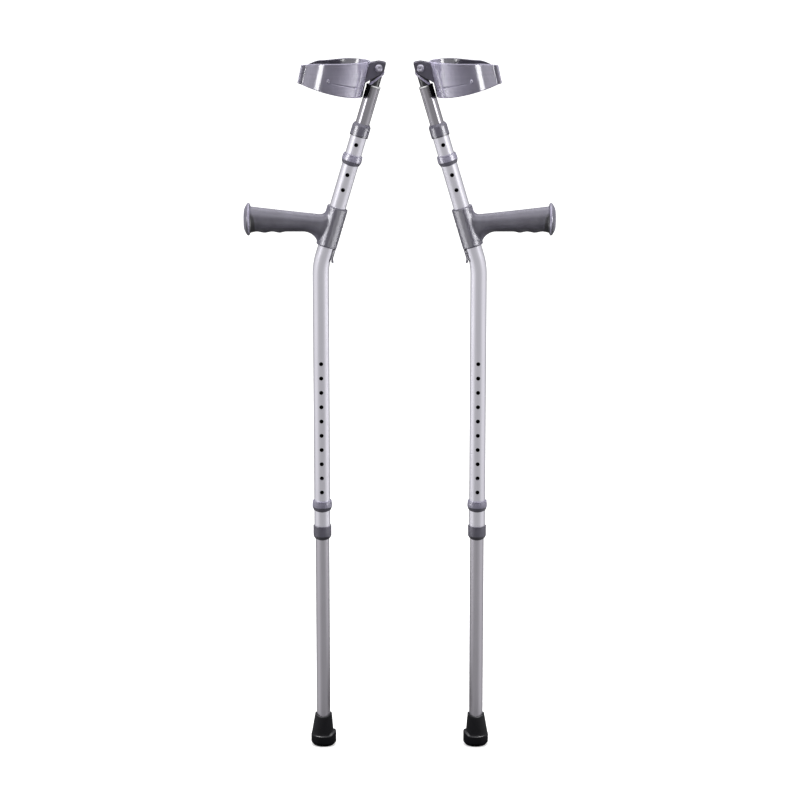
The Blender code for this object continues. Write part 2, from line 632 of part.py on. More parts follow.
def cuff_parts(prefix, pivot, cuff_plastic, bracket_plastic, steel):
    """The band, the bracket behind it and the two screws between them."""
    band = cuff_band(prefix + "cuff", pivot, cuff_plastic)
    wall = CUFF_WALL * math.cos(CUFF_LEAN)

    clearance = PLUG_CUT_ABOVE_RIM - RIVET_ABOVE_RIM
    over_plug = -clearance * math.cos(PLUG_CUT_ANGLE) - BRACKET_CLEARANCE
    slant = PLUG_CUT_ANGLE - LEAN
    heel = (over_plug * math.sin(slant) + BRACKET_HEEL * math.cos(slant),
            -over_plug * math.cos(slant) + BRACKET_HEEL * math.sin(slant))
    slope = (heel[1] + BRACKET_FRONT_DROP) / (heel[0] + BRACKET_FRONT_REACH)
    front = -cuff_back(-BRACKET_FRONT_DROP) - CUFF_WALL
    shoulder = front + BRACKET_FRONT_STEP * 2
    outline = [(front, -BRACKET_FRONT_DROP + slope * (front + BRACKET_FRONT_REACH)), heel,
               (BRACKET_BACK, BRACKET_TOP - BRACKET_BACK_STEP),
               (BRACKET_BACK / 2, BRACKET_TOP - BRACKET_BACK_STEP / 3), (0, BRACKET_TOP),
               (shoulder / 2, BRACKET_TOP - BRACKET_FRONT_STEP / 3),
               (shoulder, BRACKET_TOP - BRACKET_FRONT_STEP), (front, BRACKET_TOP - BRACKET_FRONT_STEP)]
    block = prism(outline, BRACKET_WIDTH / 2)
    bracket = make_object(prefix + "cuff_bracket", block, pivot, bracket_plastic)

    rings = []
    relief_r = CUFF_R + GAP
    for height in (-2 * CUFF_DROP, 2 * CUFF_TOP):
        ring = []
        for i in range(RELIEF_ROUND):
            angle = math.tau * i / RELIEF_ROUND
            ahead = CUFF_R - relief_r * math.cos(angle)
            ring.append(cuff_point(ahead, relief_r * math.sin(angle), height))
        rings.append(ring)
    combine(bracket, make_object(prefix + "cuff_relief", loft(rings), pivot), "DIFFERENCE")

    half = TANG_WIDTH / 2 + GAP + OVERCUT / 5
    far = 2 * CUFF_DROP
    slot = prism([(-half, -far), (far, -far), (far, far), (-half, far)], TANG_THICKNESS / 2 + SLIDE_GAP)
    lean = Matrix.Rotation(LEAN, 4, "Y")
    combine(bracket, make_object(prefix + "cuff_slot", slot, pivot, place=lean), "DIFFERENCE")
    reach = BRACKET_WIDTH / 2 + OVERCUT
    drill = rod_along((0, -reach, 0), (0, reach, 0), RIVET_SHANK_D / 2 + GAP)
    combine(bracket, make_object(prefix + "rivet_drill", drill, pivot), "DIFFERENCE")

    pip_r = CUFF_PIP_D / 2
    pip = lathe([(0, -CUFF_WALL / 2), (pip_r, -CUFF_WALL / 2), (pip_r, CUFF_PIP_HEIGHT * 0.3),
                 (pip_r * 0.6, CUFF_PIP_HEIGHT), (0, CUFF_PIP_HEIGHT)], SMALL_ROUND)
    pip_place = (Matrix.Translation(cuff_point(CUFF_PIP_AHEAD, -CUFF_R, -CUFF_PIP_DROP))
                 @ Matrix.Rotation(math.pi / 2, 4, "X"))
    combine(band, make_object(prefix + "cuff_pip", pip, pivot, place=pip_place), "UNION")

    for side, height in (("upper", CUFF_SCREW_UPPER), ("lower", CUFF_SCREW_LOWER)):
        place = cuff_screw_place(height)
        under = -wall - GAP - CUFF_WALL / 30
        head_r = CUFF_SCREW_HEAD_D / 2
        shank_r = CUFF_SCREW_D / 2
        profile = [(0, under - CUFF_SCREW_HEAD_HEIGHT), (head_r * 0.7, under - CUFF_SCREW_HEAD_HEIGHT),
                   (head_r, under - CUFF_SCREW_HEAD_HEIGHT * 0.4), (head_r, under), (shank_r, under),
                   (shank_r, CUFF_SCREW_BITE - shank_r), (0, CUFF_SCREW_BITE)]
        make_object(prefix + "cuff_screw_" + side, lathe(profile, SMALL_ROUND), pivot, steel, place)
        drill = rod_along((0, 0, -2 * CUFF_WALL), (0, 0, 3 * CUFF_WALL), shank_r + GAP)
        hole = make_object(prefix + "screw_drill_" + side, drill, pivot, place=place)
        combine(band, hole, "DIFFERENCE")
        combine(bracket, hole, "DIFFERENCE")


def sleeve_front(z):
    """The sleeve's front face in the crutch's frame, at a height above the floor."""
    return (z - BEND_Z) * math.tan(LEAN) - SLEEVE_R / math.cos(LEAN)


def grip_stations():
    """Positions along X from the flange into the sleeve, closer together along the lower fillet."""
    root = sleeve_front(GRIP_END_Z)
    flange = root - GRIP_LENGTH
    fillet_start = root - GRIP_BOTTOM_FILLET * 1.35
    plain = 15
    stations = [flange + (fillet_start - flange) * i / plain for i in range(plain)]
    for i in range(5):
        angle = math.radians(78) * i / 4
        stations.append(fillet_start + GRIP_BOTTOM_FILLET * math.sin(angle))
    last = stations[-1]
    return stations + [last + GRIP_TOP_FILLET * 0.4, last + GRIP_TOP_FILLET * 0.8]


def grip_section(x):
    """The grip's section at one station: its axis, top, bottom and half width."""
    root = sleeve_front(GRIP_END_Z)
    flange = root - GRIP_LENGTH
    share = (x - flange) / GRIP_LENGTH
    axis = GRIP_END_Z - (x - flange) * math.tan(GRIP_SLOPE)
    top = GRIP_END_Z + GRIP_TOP_END + (GRIP_TOP_ROOT - GRIP_TOP_END) * share
    over = x - (root - GRIP_TOP_FILLET * 0.5)
    if over > 0:
        over = min(over, GRIP_TOP_FILLET * 0.98)
        top += GRIP_TOP_FILLET - math.sqrt(GRIP_TOP_FILLET ** 2 - over ** 2)
    bottom = GRIP_END_Z - GRIP_BOTTOM
    along = x - flange
    wave = 0.5 + 0.5 * math.cos(math.tau * (along - FINGER_FIRST) / FINGER_PITCH)
    bottom -= FINGER_DEPTH * wave * (1 - smooth_step(along, FINGER_SPAN - FINGER_PITCH / 2, FINGER_SPAN))
    under = x - (root - GRIP_BOTTOM_FILLET * 1.35)
    if under > 0:
        under = min(under, GRIP_BOTTOM_FILLET * math.sin(math.radians(78)))
        bottom -= GRIP_BOTTOM_FILLET - math.sqrt(GRIP_BOTTOM_FILLET ** 2 - under ** 2)
    width = GRIP_HALF_WIDTH_END + (GRIP_HALF_WIDTH_ROOT - GRIP_HALF_WIDTH_END) * min(share * 1.6, 1.0)
    return axis, top, bottom, width


def grip_ring(x):
    axis, top, bottom, width = grip_section(x)
    ring = []
    for i in range(GRIP_SIDES):
        angle = math.tau * i / GRIP_SIDES
        cos, sin = math.cos(angle), math.sin(angle)
        power = 2 / GRIP_SQUARENESS
        side = width * math.copysign(abs(cos) ** power, cos)
        rise = math.copysign(abs(sin) ** power, sin)
        ring.append((x, side, axis + rise * (top - axis if sin > 0 else axis - bottom)))
    return ring


def handle(prefix, crutch, leaning, finishes):
    """The moulded handle with its sleeve, core, end plug and the screw at the back of the sleeve."""
    grip = loft([grip_ring(x) for x in grip_stations()])
    body = make_object(prefix + "handle", grip, crutch, finishes["grip"])

    top = SLEEVE_START + SLEEVE_LENGTH
    sleeve = lathe([(0, SLEEVE_START), (SLEEVE_R - SLEEVE_EDGE, SLEEVE_START),
                    (SLEEVE_R, SLEEVE_START + SLEEVE_EDGE), (SLEEVE_R, top - SLEEVE_EDGE),
                    (SLEEVE_R - SLEEVE_EDGE, top), (0, top)])
    combine(body, make_object(prefix + "handle_sleeve", sleeve, leaning), "UNION")

    tongue = back_tongue(SLEEVE_START + SLEEVE_LENGTH / 4)
    combine(body, make_object(prefix + "handle_tongue", tongue, crutch), "UNION")

    flange_r = FLANGE_D / 2
    rim = FLANGE_RIM / 2
    flange = [(0, -rim - FLANGE_DOME), (flange_r * 0.5, -rim - FLANGE_DOME * 0.86),
              (flange_r * 0.85, -rim - FLANGE_DOME * 0.45), (flange_r * 0.97, -rim), (flange_r, 0),
              (flange_r * 0.97, rim), (flange_r * 0.85, FLANGE_RIM * 0.8), (0, FLANGE_RIM * 0.8)]
    flange_x = sleeve_front(GRIP_END_Z) - GRIP_LENGTH
    along_x = Matrix.Translation((flange_x, 0, GRIP_END_Z)) @ Matrix.Rotation(math.pi / 2, 4, "Y")
    combine(body, make_object(prefix + "handle_flange", lathe(flange), crutch, place=along_x), "UNION")

    bore = make_object(prefix + "sleeve_bore", bent_bar(OVER_OUTER_R), crutch)
    combine(body, bore, "DIFFERENCE")

    face = -rim - FLANGE_DOME
    downhill = Matrix.Rotation(math.pi / 2 + GRIP_SLOPE, 4, "Y")
    slope = Matrix.Translation((flange_x, 0, GRIP_END_Z)) @ downhill
    root_z = GRIP_END_Z - GRIP_LENGTH * math.tan(GRIP_SLOPE)
    tube_front = (root_z - BEND_Z) * math.tan(LEAN) - OVER_OUTER_R / math.cos(LEAN)
    lean_loss = CORE_D / 2 * math.tan(LEAN + GRIP_SLOPE)
    bore_end = (tube_front - flange_x) / math.cos(GRIP_SLOPE) - CORE_END_WALL - lean_loss
    core_start = face + END_PLUG_HEAD + GAP
    bore = rod_along((0, 0, face - OVERCUT), (0, 0, bore_end), CORE_D / 2 + GAP, CORE_ROUND)
    combine(body, make_object(prefix + "core_bore", bore, crutch, place=slope), "DIFFERENCE")

    core_r = CORE_D / 2
    core = [(core_r - CORE_WALL, core_start), (core_r, core_start), (core_r, bore_end - GAP),
            (core_r - CORE_WALL, bore_end - GAP)]
    make_object(prefix + "handle_core", lathe(core, CORE_ROUND), crutch, finishes["tube"], slope)
    spigot_r = core_r - CORE_WALL - GAP
    plug = [(0, face + OVERCUT * 0.3), (core_r * 0.7, face + OVERCUT * 0.3), (core_r, face + OVERCUT),
            (core_r, face + END_PLUG_HEAD), (spigot_r, face + END_PLUG_HEAD),
            (spigot_r, core_start + END_PLUG_SPIGOT), (0, core_start + END_PLUG_SPIGOT)]
    make_object(prefix + "handle_end_plug", lathe(plug, CORE_ROUND), crutch, finishes["dark"], slope)

    height = SLEEVE_START + HANDLE_SCREW_UP
    seat = OVER_OUTER_R + HANDLE_SCREW_SEAT
    along_back = Matrix.Translation((0, 0, height)) @ Matrix.Rotation(math.pi / 2, 4, "Y")
    hole_r = HANDLE_SCREW_D / 2 + GAP
    recess_r = HANDLE_SCREW_RECESS_D / 2
    recess = lathe([(0, 0), (hole_r, 0), (hole_r, seat), (recess_r, seat), (recess_r, 2 * SLEEVE_R),
                    (0, 2 * SLEEVE_R)], CORE_ROUND)
    combine(body, make_object(prefix + "screw_recess", recess, leaning, place=along_back), "DIFFERENCE")
    under = seat + GAP
    tip = OUTER_BORE_R - HANDLE_SCREW_PAST_WALL
    head_r = HANDLE_SCREW_HEAD_D / 2
    shank_r = HANDLE_SCREW_D / 2
    top = under + HANDLE_SCREW_HEAD_HEIGHT
    screw = [(0, tip), (shank_r, tip), (shank_r, under), (head_r, under),
             (head_r, under + HANDLE_SCREW_HEAD_HEIGHT * 0.6), (head_r * 0.6, top), (0, top)]
    make_object(prefix + "handle_screw", lathe(screw, SMALL_ROUND), leaning, finishes["steel"], along_back)


def build_crutch(prefix, side, finishes):
    """One crutch. Side -1 is the left one as photographed, and side 1 is its mirror image."""
    crutch = make_empty(prefix + "crutch", location=(side * POLE_SPACING / 2, 0, 0), scale_x=-side)
    leaning = make_empty(prefix + "leaning_axis", crutch, (0, 0, BEND_Z), LEAN)
    rivet_spot = (RIVET * math.sin(LEAN), 0, BEND_Z + RIVET * math.cos(LEAN))
    pivot = make_empty(prefix + "cuff_pivot", crutch, rivet_spot)

    outer_tube(prefix, crutch, leaning, finishes["tube"])
    end_collar(prefix + "leg_collar", crutch, OUTER_BOTTOM_Z, -1, finishes["fitting"])
    end_collar(prefix + "forearm_collar", leaning, OUTER_UPPER, 1, finishes["fitting"])

    sliding_tube(prefix + "leg_tube", crutch, LEG_TUBE_Z, LEG_TUBE_LENGTH, LEG_PIN_Z, finishes["satin"])
    guide_bush(prefix + "leg_tube_bush", crutch, LEG_TUBE_Z + LEG_TUBE_LENGTH, 1, finishes["fitting"])
    spring_clip(prefix + "leg_clip", crutch, LEG_PIN_Z, finishes["fitting"])
    ferrule(prefix + "ferrule", crutch, finishes["rubber"])
    seat_washer(prefix + "ferrule_washer", crutch, finishes["steel"])

    sliding_tube(prefix + "forearm_tube", leaning, FOREARM_LOW_END, FOREARM_TUBE_LENGTH, FOREARM_PIN,
                 finishes["satin"])
    guide_bush(prefix + "forearm_tube_bush", leaning, FOREARM_LOW_END, -1, finishes["fitting"])
    spring_clip(prefix + "forearm_clip", leaning, FOREARM_PIN, finishes["fitting"])
    cuff_plug(prefix + "cuff_plug", leaning, finishes["dark"])
    pivot_rivet(prefix, pivot, finishes["steel"])
    cuff_parts(prefix, pivot, finishes["cuff"], finishes["dark"], finishes["steel"])

    handle(prefix, crutch, leaning, finishes)


clear_scene()
FINISHES = {
    "tube": make_material("anodised_tube", (0.72, 0.71, 0.76), 0.28, 1.0),
    "satin": make_material("satin_tube", (0.50, 0.48, 0.53), 0.34, 1.0),
    "fitting": make_material("grey_fitting", (0.20, 0.19, 0.23), 0.42),
    "grip": make_material("grey_grip", (0.19, 0.18, 0.22), 0.45),
    "cuff": make_material("grey_cuff", (0.26, 0.25, 0.31), 0.32),
    "dark": make_material("dark_nylon", (0.055, 0.052, 0.062), 0.45),
    "rubber": make_material("black_rubber", (0.012, 0.012, 0.014), 0.62),
    "steel": make_material("plated_steel", (0.62, 0.61, 0.63), 0.30, 1.0),
}
build_crutch("left_", -1, FINISHES)
build_crutch("right_", 1, FINISHES)
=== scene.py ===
"""A pair of forearm crutches in a pale studio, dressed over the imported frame.

Shapes are made in the left crutch's own frame: the upright tube stands on Z with the floor at zero,
the handle points to -X and the upper part leans to +X. The right crutch is its mirror image.
"""

import json
import math

import bmesh
import bpy
from mathutils import Matrix, Vector


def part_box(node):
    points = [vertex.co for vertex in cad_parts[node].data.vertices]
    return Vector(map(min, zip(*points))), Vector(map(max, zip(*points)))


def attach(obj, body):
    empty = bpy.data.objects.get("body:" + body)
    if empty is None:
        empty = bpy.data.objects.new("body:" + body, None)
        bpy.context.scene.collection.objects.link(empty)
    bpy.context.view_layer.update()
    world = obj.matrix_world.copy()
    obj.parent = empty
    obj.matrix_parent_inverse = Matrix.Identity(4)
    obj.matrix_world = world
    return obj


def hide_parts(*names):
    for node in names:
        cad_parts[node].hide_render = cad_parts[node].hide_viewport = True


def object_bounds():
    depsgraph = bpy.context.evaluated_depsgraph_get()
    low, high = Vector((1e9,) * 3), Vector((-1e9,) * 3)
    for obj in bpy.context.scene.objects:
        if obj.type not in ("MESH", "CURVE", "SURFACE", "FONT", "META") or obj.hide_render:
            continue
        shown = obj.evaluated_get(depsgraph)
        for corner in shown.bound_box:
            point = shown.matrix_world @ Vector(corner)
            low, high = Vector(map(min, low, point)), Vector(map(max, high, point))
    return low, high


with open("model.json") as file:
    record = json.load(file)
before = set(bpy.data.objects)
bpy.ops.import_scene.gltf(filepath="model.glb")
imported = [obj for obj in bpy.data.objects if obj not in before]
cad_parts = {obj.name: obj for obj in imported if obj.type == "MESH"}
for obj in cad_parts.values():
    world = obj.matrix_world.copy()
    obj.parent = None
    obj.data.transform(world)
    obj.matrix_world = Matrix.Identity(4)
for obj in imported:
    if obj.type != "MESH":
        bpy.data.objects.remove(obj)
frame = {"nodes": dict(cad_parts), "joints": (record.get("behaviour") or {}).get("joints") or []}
cad_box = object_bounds()


# Camera. It stands in front of the pair, level with their middle, and looks down on them through a
# long lens, so that both crutches stand almost parallel.
LOOK_DOWN = math.radians(12.5)
CAMERA_DISTANCE = 3.6        # to the point that it aims at
AIM_HEIGHT = 0.48
PICTURE_WIDTH = 800
PICTURE_SCALE = 731          # pixels to a metre at that point
PICTURE_SHIFT = (0.3, 10.6)  # pixels that the camera stands right of and above that point
FILM_WIDTH = 36

forward = Vector((0, math.cos(LOOK_DOWN), -math.sin(LOOK_DOWN)))
upward = Vector((0, math.sin(LOOK_DOWN), math.cos(LOOK_DOWN)))
lens = bpy.data.cameras.new("camera")
lens.sensor_width = FILM_WIDTH
lens.lens = FILM_WIDTH * CAMERA_DISTANCE * PICTURE_SCALE / PICTURE_WIDTH
camera = bpy.data.objects.new("camera", lens)
camera.location = (Vector((0, 0, AIM_HEIGHT)) - forward * CAMERA_DISTANCE
                   + Vector((1, 0, 0)) * PICTURE_SHIFT[0] / PICTURE_SCALE
                   + upward * PICTURE_SHIFT[1] / PICTURE_SCALE)
camera.rotation_euler = (math.pi / 2 - LOOK_DOWN, 0, 0)
bpy.context.scene.collection.objects.link(camera)
bpy.context.scene.camera = camera


# Studio. A white sweep of paper between two tall soft side lights, with a soft light overhead. The
# camera's side and the far wall are darker, which draws the dark edges of the tubes. Each crutch
# has its own strip lights, which show only as gloss: they draw the bright lines on its pieces.
ROOM_FRONT = 0.50            # brightness of the camera's side, of the sides and of the far wall
ROOM_SIDES = 0.86
ROOM_BACK = 0.25
ROOM_TOP = 2.4
ROOM_FILL = 0.22             # strength of the room's light on matt surfaces
FRONT_ENDS = (-0.92, -0.45)  # Y of the directions between which the front turns into the sides
BACK_STARTS = (0.15, 0.95)
TOP_STARTS = (0.35, 0.85)    # Z of the directions between which the sides turn into the ceiling
PAPER = 0.82
PAPER_LIFT = 0.42            # added where the camera sees the paper, so that it is white
LIFT_GROWS = (0.5, 2.0)      # distances from a crutch between which that grows to one
PAPER_FILL = 0.06            # what the paper gives back to matt surfaces
SPOT_TONE = 0.04             # the paper's brightness in gloss, right under a crutch and beside it; the dark spot is painted shade seen only in reflections
BESIDE_TONE = 0.80
SPOT_EDGE = (0.02, 0.16)
FAR_TONE = 1.35              # how much brighter it is further off
FAR_EDGE = (0.2, 3.0)
FLOOR_SIZE = 60.0
FLOOR_DROP = 0.0002
POLE_X = (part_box("left_leg_tube")[0].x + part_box("left_leg_tube")[1].x) / 2


def node(tree, kind, inputs=None, **settings):
    """Add a node, set its settings, and give each of its inputs a value or a link."""
    made = tree.nodes.new(kind)
    for key, value in settings.items():
        setattr(made, key, value)
    for key, value in (inputs or {}).items():
        if isinstance(value, bpy.types.NodeSocket):
            tree.links.new(value, made.inputs[key])
        else:
            made.inputs[key].default_value = value
    return made


def spread(tree, value, low, high, to_low, to_high, kind="LINEAR"):
    """Carry a value from one range over to another, and hold it at the ends."""
    return node(tree, "ShaderNodeMapRange", {"Value": value, "From Min": low, "From Max": high,
                                             "To Min": to_low, "To Max": to_high},
                interpolation_type=kind).outputs[0]


def maths(tree, operation, *values):
    return node(tree, "ShaderNodeMath", dict(enumerate(values)), operation=operation).outputs[0]


def vectors(tree, operation, *values):
    made = node(tree, "ShaderNodeVectorMath", dict(enumerate(values)), operation=operation)
    return made.outputs["Value" if operation == "LENGTH" else "Vector"]


def part_of(tree, vector, axis):
    return node(tree, "ShaderNodeSeparateXYZ", {0: vector}).outputs[axis]


def mixed(tree, share, start, end):
    return node(tree, "ShaderNodeMix", {0: share, 2: start, 3: end}).outputs[0]


def seen_directly(tree, path):
    return maths(tree, "MAXIMUM", path["Is Camera Ray"], path["Is Transmission Ray"])


def room_tone(tree, direction):
    """Brightness of the room in a level direction, from the camera's side round to the far wall."""
    level = vectors(tree, "NORMALIZE", vectors(tree, "MULTIPLY", direction, (1, 1, 0)))
    depth = part_of(tree, level, "Y")
    front = spread(tree, depth, *FRONT_ENDS, ROOM_FRONT, ROOM_SIDES, "SMOOTHSTEP")
    back = spread(tree, depth, *BACK_STARTS, 1.0, ROOM_BACK / ROOM_SIDES, "SMOOTHSTEP")
    return maths(tree, "MULTIPLY", front, back)


def make_room():
    world = bpy.data.worlds.new("studio")
    world.use_nodes = True
    tree = world.node_tree
    tree.nodes.clear()
    direction = node(tree, "ShaderNodeTexCoord").outputs["Generated"]
    ceiling = spread(tree, part_of(tree, direction, "Z"), *TOP_STARTS, 0.0, 1.0, "SMOOTHSTEP")
    tone = mixed(tree, ceiling, room_tone(tree, direction), ROOM_TOP)
    path = node(tree, "ShaderNodeLightPath").outputs
    seen = mixed(tree, path["Is Glossy Ray"], maths(tree, "MULTIPLY", tone, ROOM_FILL), tone)
    strength = mixed(tree, seen_directly(tree, path), seen, 1.0)
    light = node(tree, "ShaderNodeBackground", {"Color": (1, 1, 1, 1), "Strength": strength})
    node(tree, "ShaderNodeOutputWorld", {"Surface": light.outputs[0]})
    bpy.context.scene.world = world


def glow(tree, strength):
    return node(tree, "ShaderNodeEmission", {"Strength": strength}).outputs[0]


def make_paper():
    """The paper: matt to the camera, a pale ground with painted shade under each crutch, seen only in gloss."""
    paper = bpy.data.materials.new("white_paper")
    paper.use_nodes = True
    tree = paper.node_tree
    tree.nodes.clear()
    where = node(tree, "ShaderNodeTexCoord").outputs["Object"]
    across = maths(tree, "SUBTRACT", maths(tree, "ABSOLUTE", part_of(tree, where, "X")), abs(POLE_X))
    from_pole = node(tree, "ShaderNodeCombineXYZ", {"X": across, "Y": part_of(tree, where, "Y")}).outputs[0]
    away = vectors(tree, "LENGTH", from_pole)
    near = spread(tree, away, *SPOT_EDGE, SPOT_TONE, BESIDE_TONE, "SMOOTHSTEP")
    far = spread(tree, away, *FAR_EDGE, 1.0, FAR_TONE)
    tone = maths(tree, "MULTIPLY", maths(tree, "MULTIPLY", room_tone(tree, from_pole), near), far)
    matt = node(tree, "ShaderNodeBsdfDiffuse", {"Color": (PAPER, PAPER, PAPER, 1)}).outputs[0]
    lift = glow(tree, spread(tree, away, *LIFT_GROWS, PAPER_LIFT, 1.0))
    lifted = node(tree, "ShaderNodeAddShader", {0: matt, 1: lift}).outputs[0]
    path = node(tree, "ShaderNodeLightPath").outputs
    seen = node(tree, "ShaderNodeMixShader", {0: seen_directly(tree, path), 1: glow(tree, PAPER_FILL),
                                              2: lifted}).outputs[0]
    shown = node(tree, "ShaderNodeMixShader", {0: path["Is Glossy Ray"], 1: seen, 2: glow(tree, tone)})
    node(tree, "ShaderNodeOutputMaterial", {"Surface": shown.outputs[0]})
    return paper


make_room()
sheet = bmesh.new()
bmesh.ops.create_grid(sheet, x_segments=1, y_segments=1, size=FLOOR_SIZE / 2,
                      matrix=Matrix.Translation((0, 0, cad_box[0].z - FLOOR_DROP)))
floor_mesh = bpy.data.meshes.new("floor")
sheet.to_mesh(floor_mesh)
sheet.free()
floor_mesh.materials.append(make_paper())
floor = bpy.data.objects.new("floor", floor_mesh)
bpy.context.scene.collection.objects.link(floor)

# What each strip light shows on: a crutch's pieces of one finish. Azimuth from the camera's side
# towards the crutch's outer side, distance, lowest and highest edge, width in degrees, radiance.
STRIPS = {
    "tube": [(56, 1.5, 1.00, 1.60, 26, 1.9), (-96, 0.8, 0.02, 0.85, 44, 0.4)],
    "satin": [(51, 1.5, 0.80, 1.60, 24, 4.0), (-96, 0.8, 0.02, 0.85, 44, 0.4)],
    "fitting": [(58, 1.5, 0.80, 1.45, 34, 24), (-80, 0.8, 0.30, 0.75, 40, 14)],
    "grip": [(47, 1.5, 0.74, 1.30, 36, 24), (-76, 0.8, 0.10, 0.60, 60, 9), (0, 1.0, 0.98, 2.20, 90, 1.9),
             (-28, 1.0, 0.40, 0.72, 50, 4.5)],
    "cuff": [(27, 1.5, 0.55, 1.50, 11.5, 22), (56, 1.5, 0.55, 1.50, 46, 2.0), (80, 1.5, 0.80, 1.50, 12, 18),
             (-38, 0.8, 0.40, 0.95, 16, 0.8), (-54, 0.8, 0.40, 0.95, 16, 1.2), (-70, 0.8, 0.40, 0.95, 16, 2.9),
             (-86, 0.8, 0.40, 0.95, 16, 4.4), (-105, 0.8, 0.40, 0.95, 22, 3)],
    "dark": [(83, 0.8, 1.50, 2.30, 60, 14), (-80, 0.8, 0.30, 0.75, 24, 8)],
    "rubber": [(60, 0.5, 0.75, 1.40, 60, 90), (-55, 0.5, 0.75, 1.40, 40, 28)],
    "steel": [(60, 1.2, 1.00, 1.80, 40, 2.5), (-60, 0.8, 0.20, 0.75, 40, 2.0)],
}
# Soft lights that fall only on one finish, in the same terms.
FILLS = {
    "fitting": [(0, 1.5, 1.40, 2.40, 50, 1.6), (-25, 0.5, 0.80, 1.05, 40, 3)],
    "grip": [(0, 3.2, 0.00, 0.50, 43, 1.3), (75, 1.5, 0.40, 1.20, 35, 3)],
    "cuff": [(0, 3.2, 0.00, 0.50, 43, 4.0), (-100, 0.8, 0.60, 1.30, 40, 11)],
    "dark": [(0, 3.2, 0.00, 0.50, 43, 4.0)],
}
# Soft lights for everything: place, aim, width, height, radiance.
SOFT_LIGHTS = {
    "left_soft_box": ((-1.9, -0.25, 0.75), (0, 0, 0.55), 1.1, 1.7, 3.6),
    "right_soft_box": ((1.9, -0.25, 0.75), (0, 0, 0.55), 1.1, 1.7, 3.6),
    "overhead": ((0, 0.30, 2.3), (0, 0.05, 0.5), 2.2, 1.4, 5.0),
}
lit = {}


def add_lamp(name, place, aim, width, height, radiance, receivers=None, gloss=False):
    """A rectangular soft light, for everything or for one collection, seen either matt or as gloss."""
    lamp = bpy.data.lights.new(name, "AREA")
    lamp.shape = "RECTANGLE"
    lamp.size, lamp.size_y = width, height
    lamp.energy = radiance * math.pi * width * height
    obj = bpy.data.objects.new(name, lamp)
    place, aim = Vector(place), Vector(aim)
    obj.location = place
    obj.rotation_euler = (aim - place).to_track_quat("-Z", "Y").to_euler()
    bpy.context.scene.collection.objects.link(obj)
    obj.visible_camera = False
    obj.visible_glossy = gloss
    obj.visible_diffuse = not gloss
    if receivers is not None:
        obj.light_linking.receiver_collection = receivers


for side, mirror in (("left", 1), ("right", -1)):
    for finish in STRIPS:
        lit[side, finish] = bpy.data.collections.new(f"{side}_{finish}")
        for kind, lamps in (("strip", STRIPS[finish]), ("fill", FILLS.get(finish, ()))):
            for number, (azimuth, distance, low, high, width, radiance) in enumerate(lamps):
                turn = math.radians(azimuth)
                middle = (low + high) / 2
                place = (mirror * (POLE_X - distance * math.sin(turn)), -distance * math.cos(turn), middle)
                aim = (mirror * POLE_X, 0, middle if kind == "strip" else AIM_HEIGHT)
                add_lamp(f"{side}_{finish}_{kind}_{number}", place, aim, distance * math.radians(width), high - low,
                         radiance, lit[side, finish], kind == "strip")
for name, values in SOFT_LIGHTS.items():
    add_lamp(name, *values)


# Bent tube. Clear-anodised aluminium, drawn and then bent once below the handle, with a row of
# punched holes at each end in its near wall. The sliding tubes' clips snap into them.
LEAN_AXIS = Vector(next(j["axis"] for j in frame["joints"] if j["name"] == "left_forearm_slide"))
RIVET_PLACE = Vector(next(j["pos_m"] for j in frame["joints"] if j["name"] == "left_cuff_swivel"))
LEAN = math.atan2(LEAN_AXIS.x, LEAN_AXIS.z)
BEND_Z = RIVET_PLACE.z - (RIVET_PLACE.x - POLE_X) / math.tan(LEAN)
LEANING = Matrix.Translation((0, 0, BEND_Z)) @ Matrix.Rotation(LEAN, 4, "Y")
BEND_RADIUS = 0.090
BEND_STEPS = 28
TUBE_WALL = 0.0012
TUBE_SIDES = 96
HOLE_D = 0.0056
HOLE_RIM = 0.00025           # the broken edge of each hole
LEG_HOLES = 11
LEG_PITCH = 0.020
LEG_END_TO_HOLE = 0.0446
FOREARM_HOLES = 4
FOREARM_PITCH = 0.021
FOREARM_END_TO_HOLE = 0.0264
ALONG_Y = Matrix.Rotation(math.pi / 2, 4, "X")
ANODISED = (0.82, 0.805, 0.88)
BARE = (0.96, 0.955, 0.97)   # aluminium that was rolled after anodising
BARE_ROUGHNESS = 0.42
BARE_BLEND = 0.0002
PAINTED_REFLECTION_BLEND = 0.0012
PAINTED_REFLECTION_SIDE = (-0.0038, 0.0010)   # where on the tube's outer side the painted dark reflection ends
# how nearly black that painted reflection is
PAINTED_REFLECTION_DARKNESS = 0.97
SCRATCHED = 0.12
# how dark the bore is painted: painted shade
BORE_PAINTED_SHADE = 0.03
DRAWN_DEPTH = 0.00002


def reach(name, place=Matrix()):
    """Lowest and highest point of one of the left crutch's nodes along a frame's Z axis."""
    to_frame = (Matrix.Translation((POLE_X, 0, 0)) @ place).inverted()
    heights = [(to_frame @ vertex.co).z for vertex in frame["nodes"][name].data.vertices]
    return min(heights), max(heights)


def to_mesh(bm, name):
    bmesh.ops.remove_doubles(bm, verts=bm.verts, dist=1e-7)
    bmesh.ops.recalc_face_normals(bm, faces=bm.faces)
    mesh = bpy.data.meshes.new(name)
    bm.to_mesh(mesh)
    bm.free()
    return mesh


def to_object(mesh):
    obj = bpy.data.objects.new(mesh.name, mesh)
    bpy.context.scene.collection.objects.link(obj)
    return obj


def rod(radius, length, place=Matrix(), sides=48):
    """A round bar with its middle at a place and along that place's Z."""
    bm = bmesh.new()
    bmesh.ops.create_cone(bm, cap_ends=True, segments=sides, radius1=radius, radius2=radius, depth=length,
                          matrix=place)
    return bm


def settle(obj):
    """Apply an object's modifiers, take it away and return its plain mesh."""
    evaluated = obj.evaluated_get(bpy.context.evaluated_depsgraph_get())
    mesh = bpy.data.meshes.new_from_object(evaluated)
    mesh.name = obj.name
    bpy.data.objects.remove(obj)
    return mesh


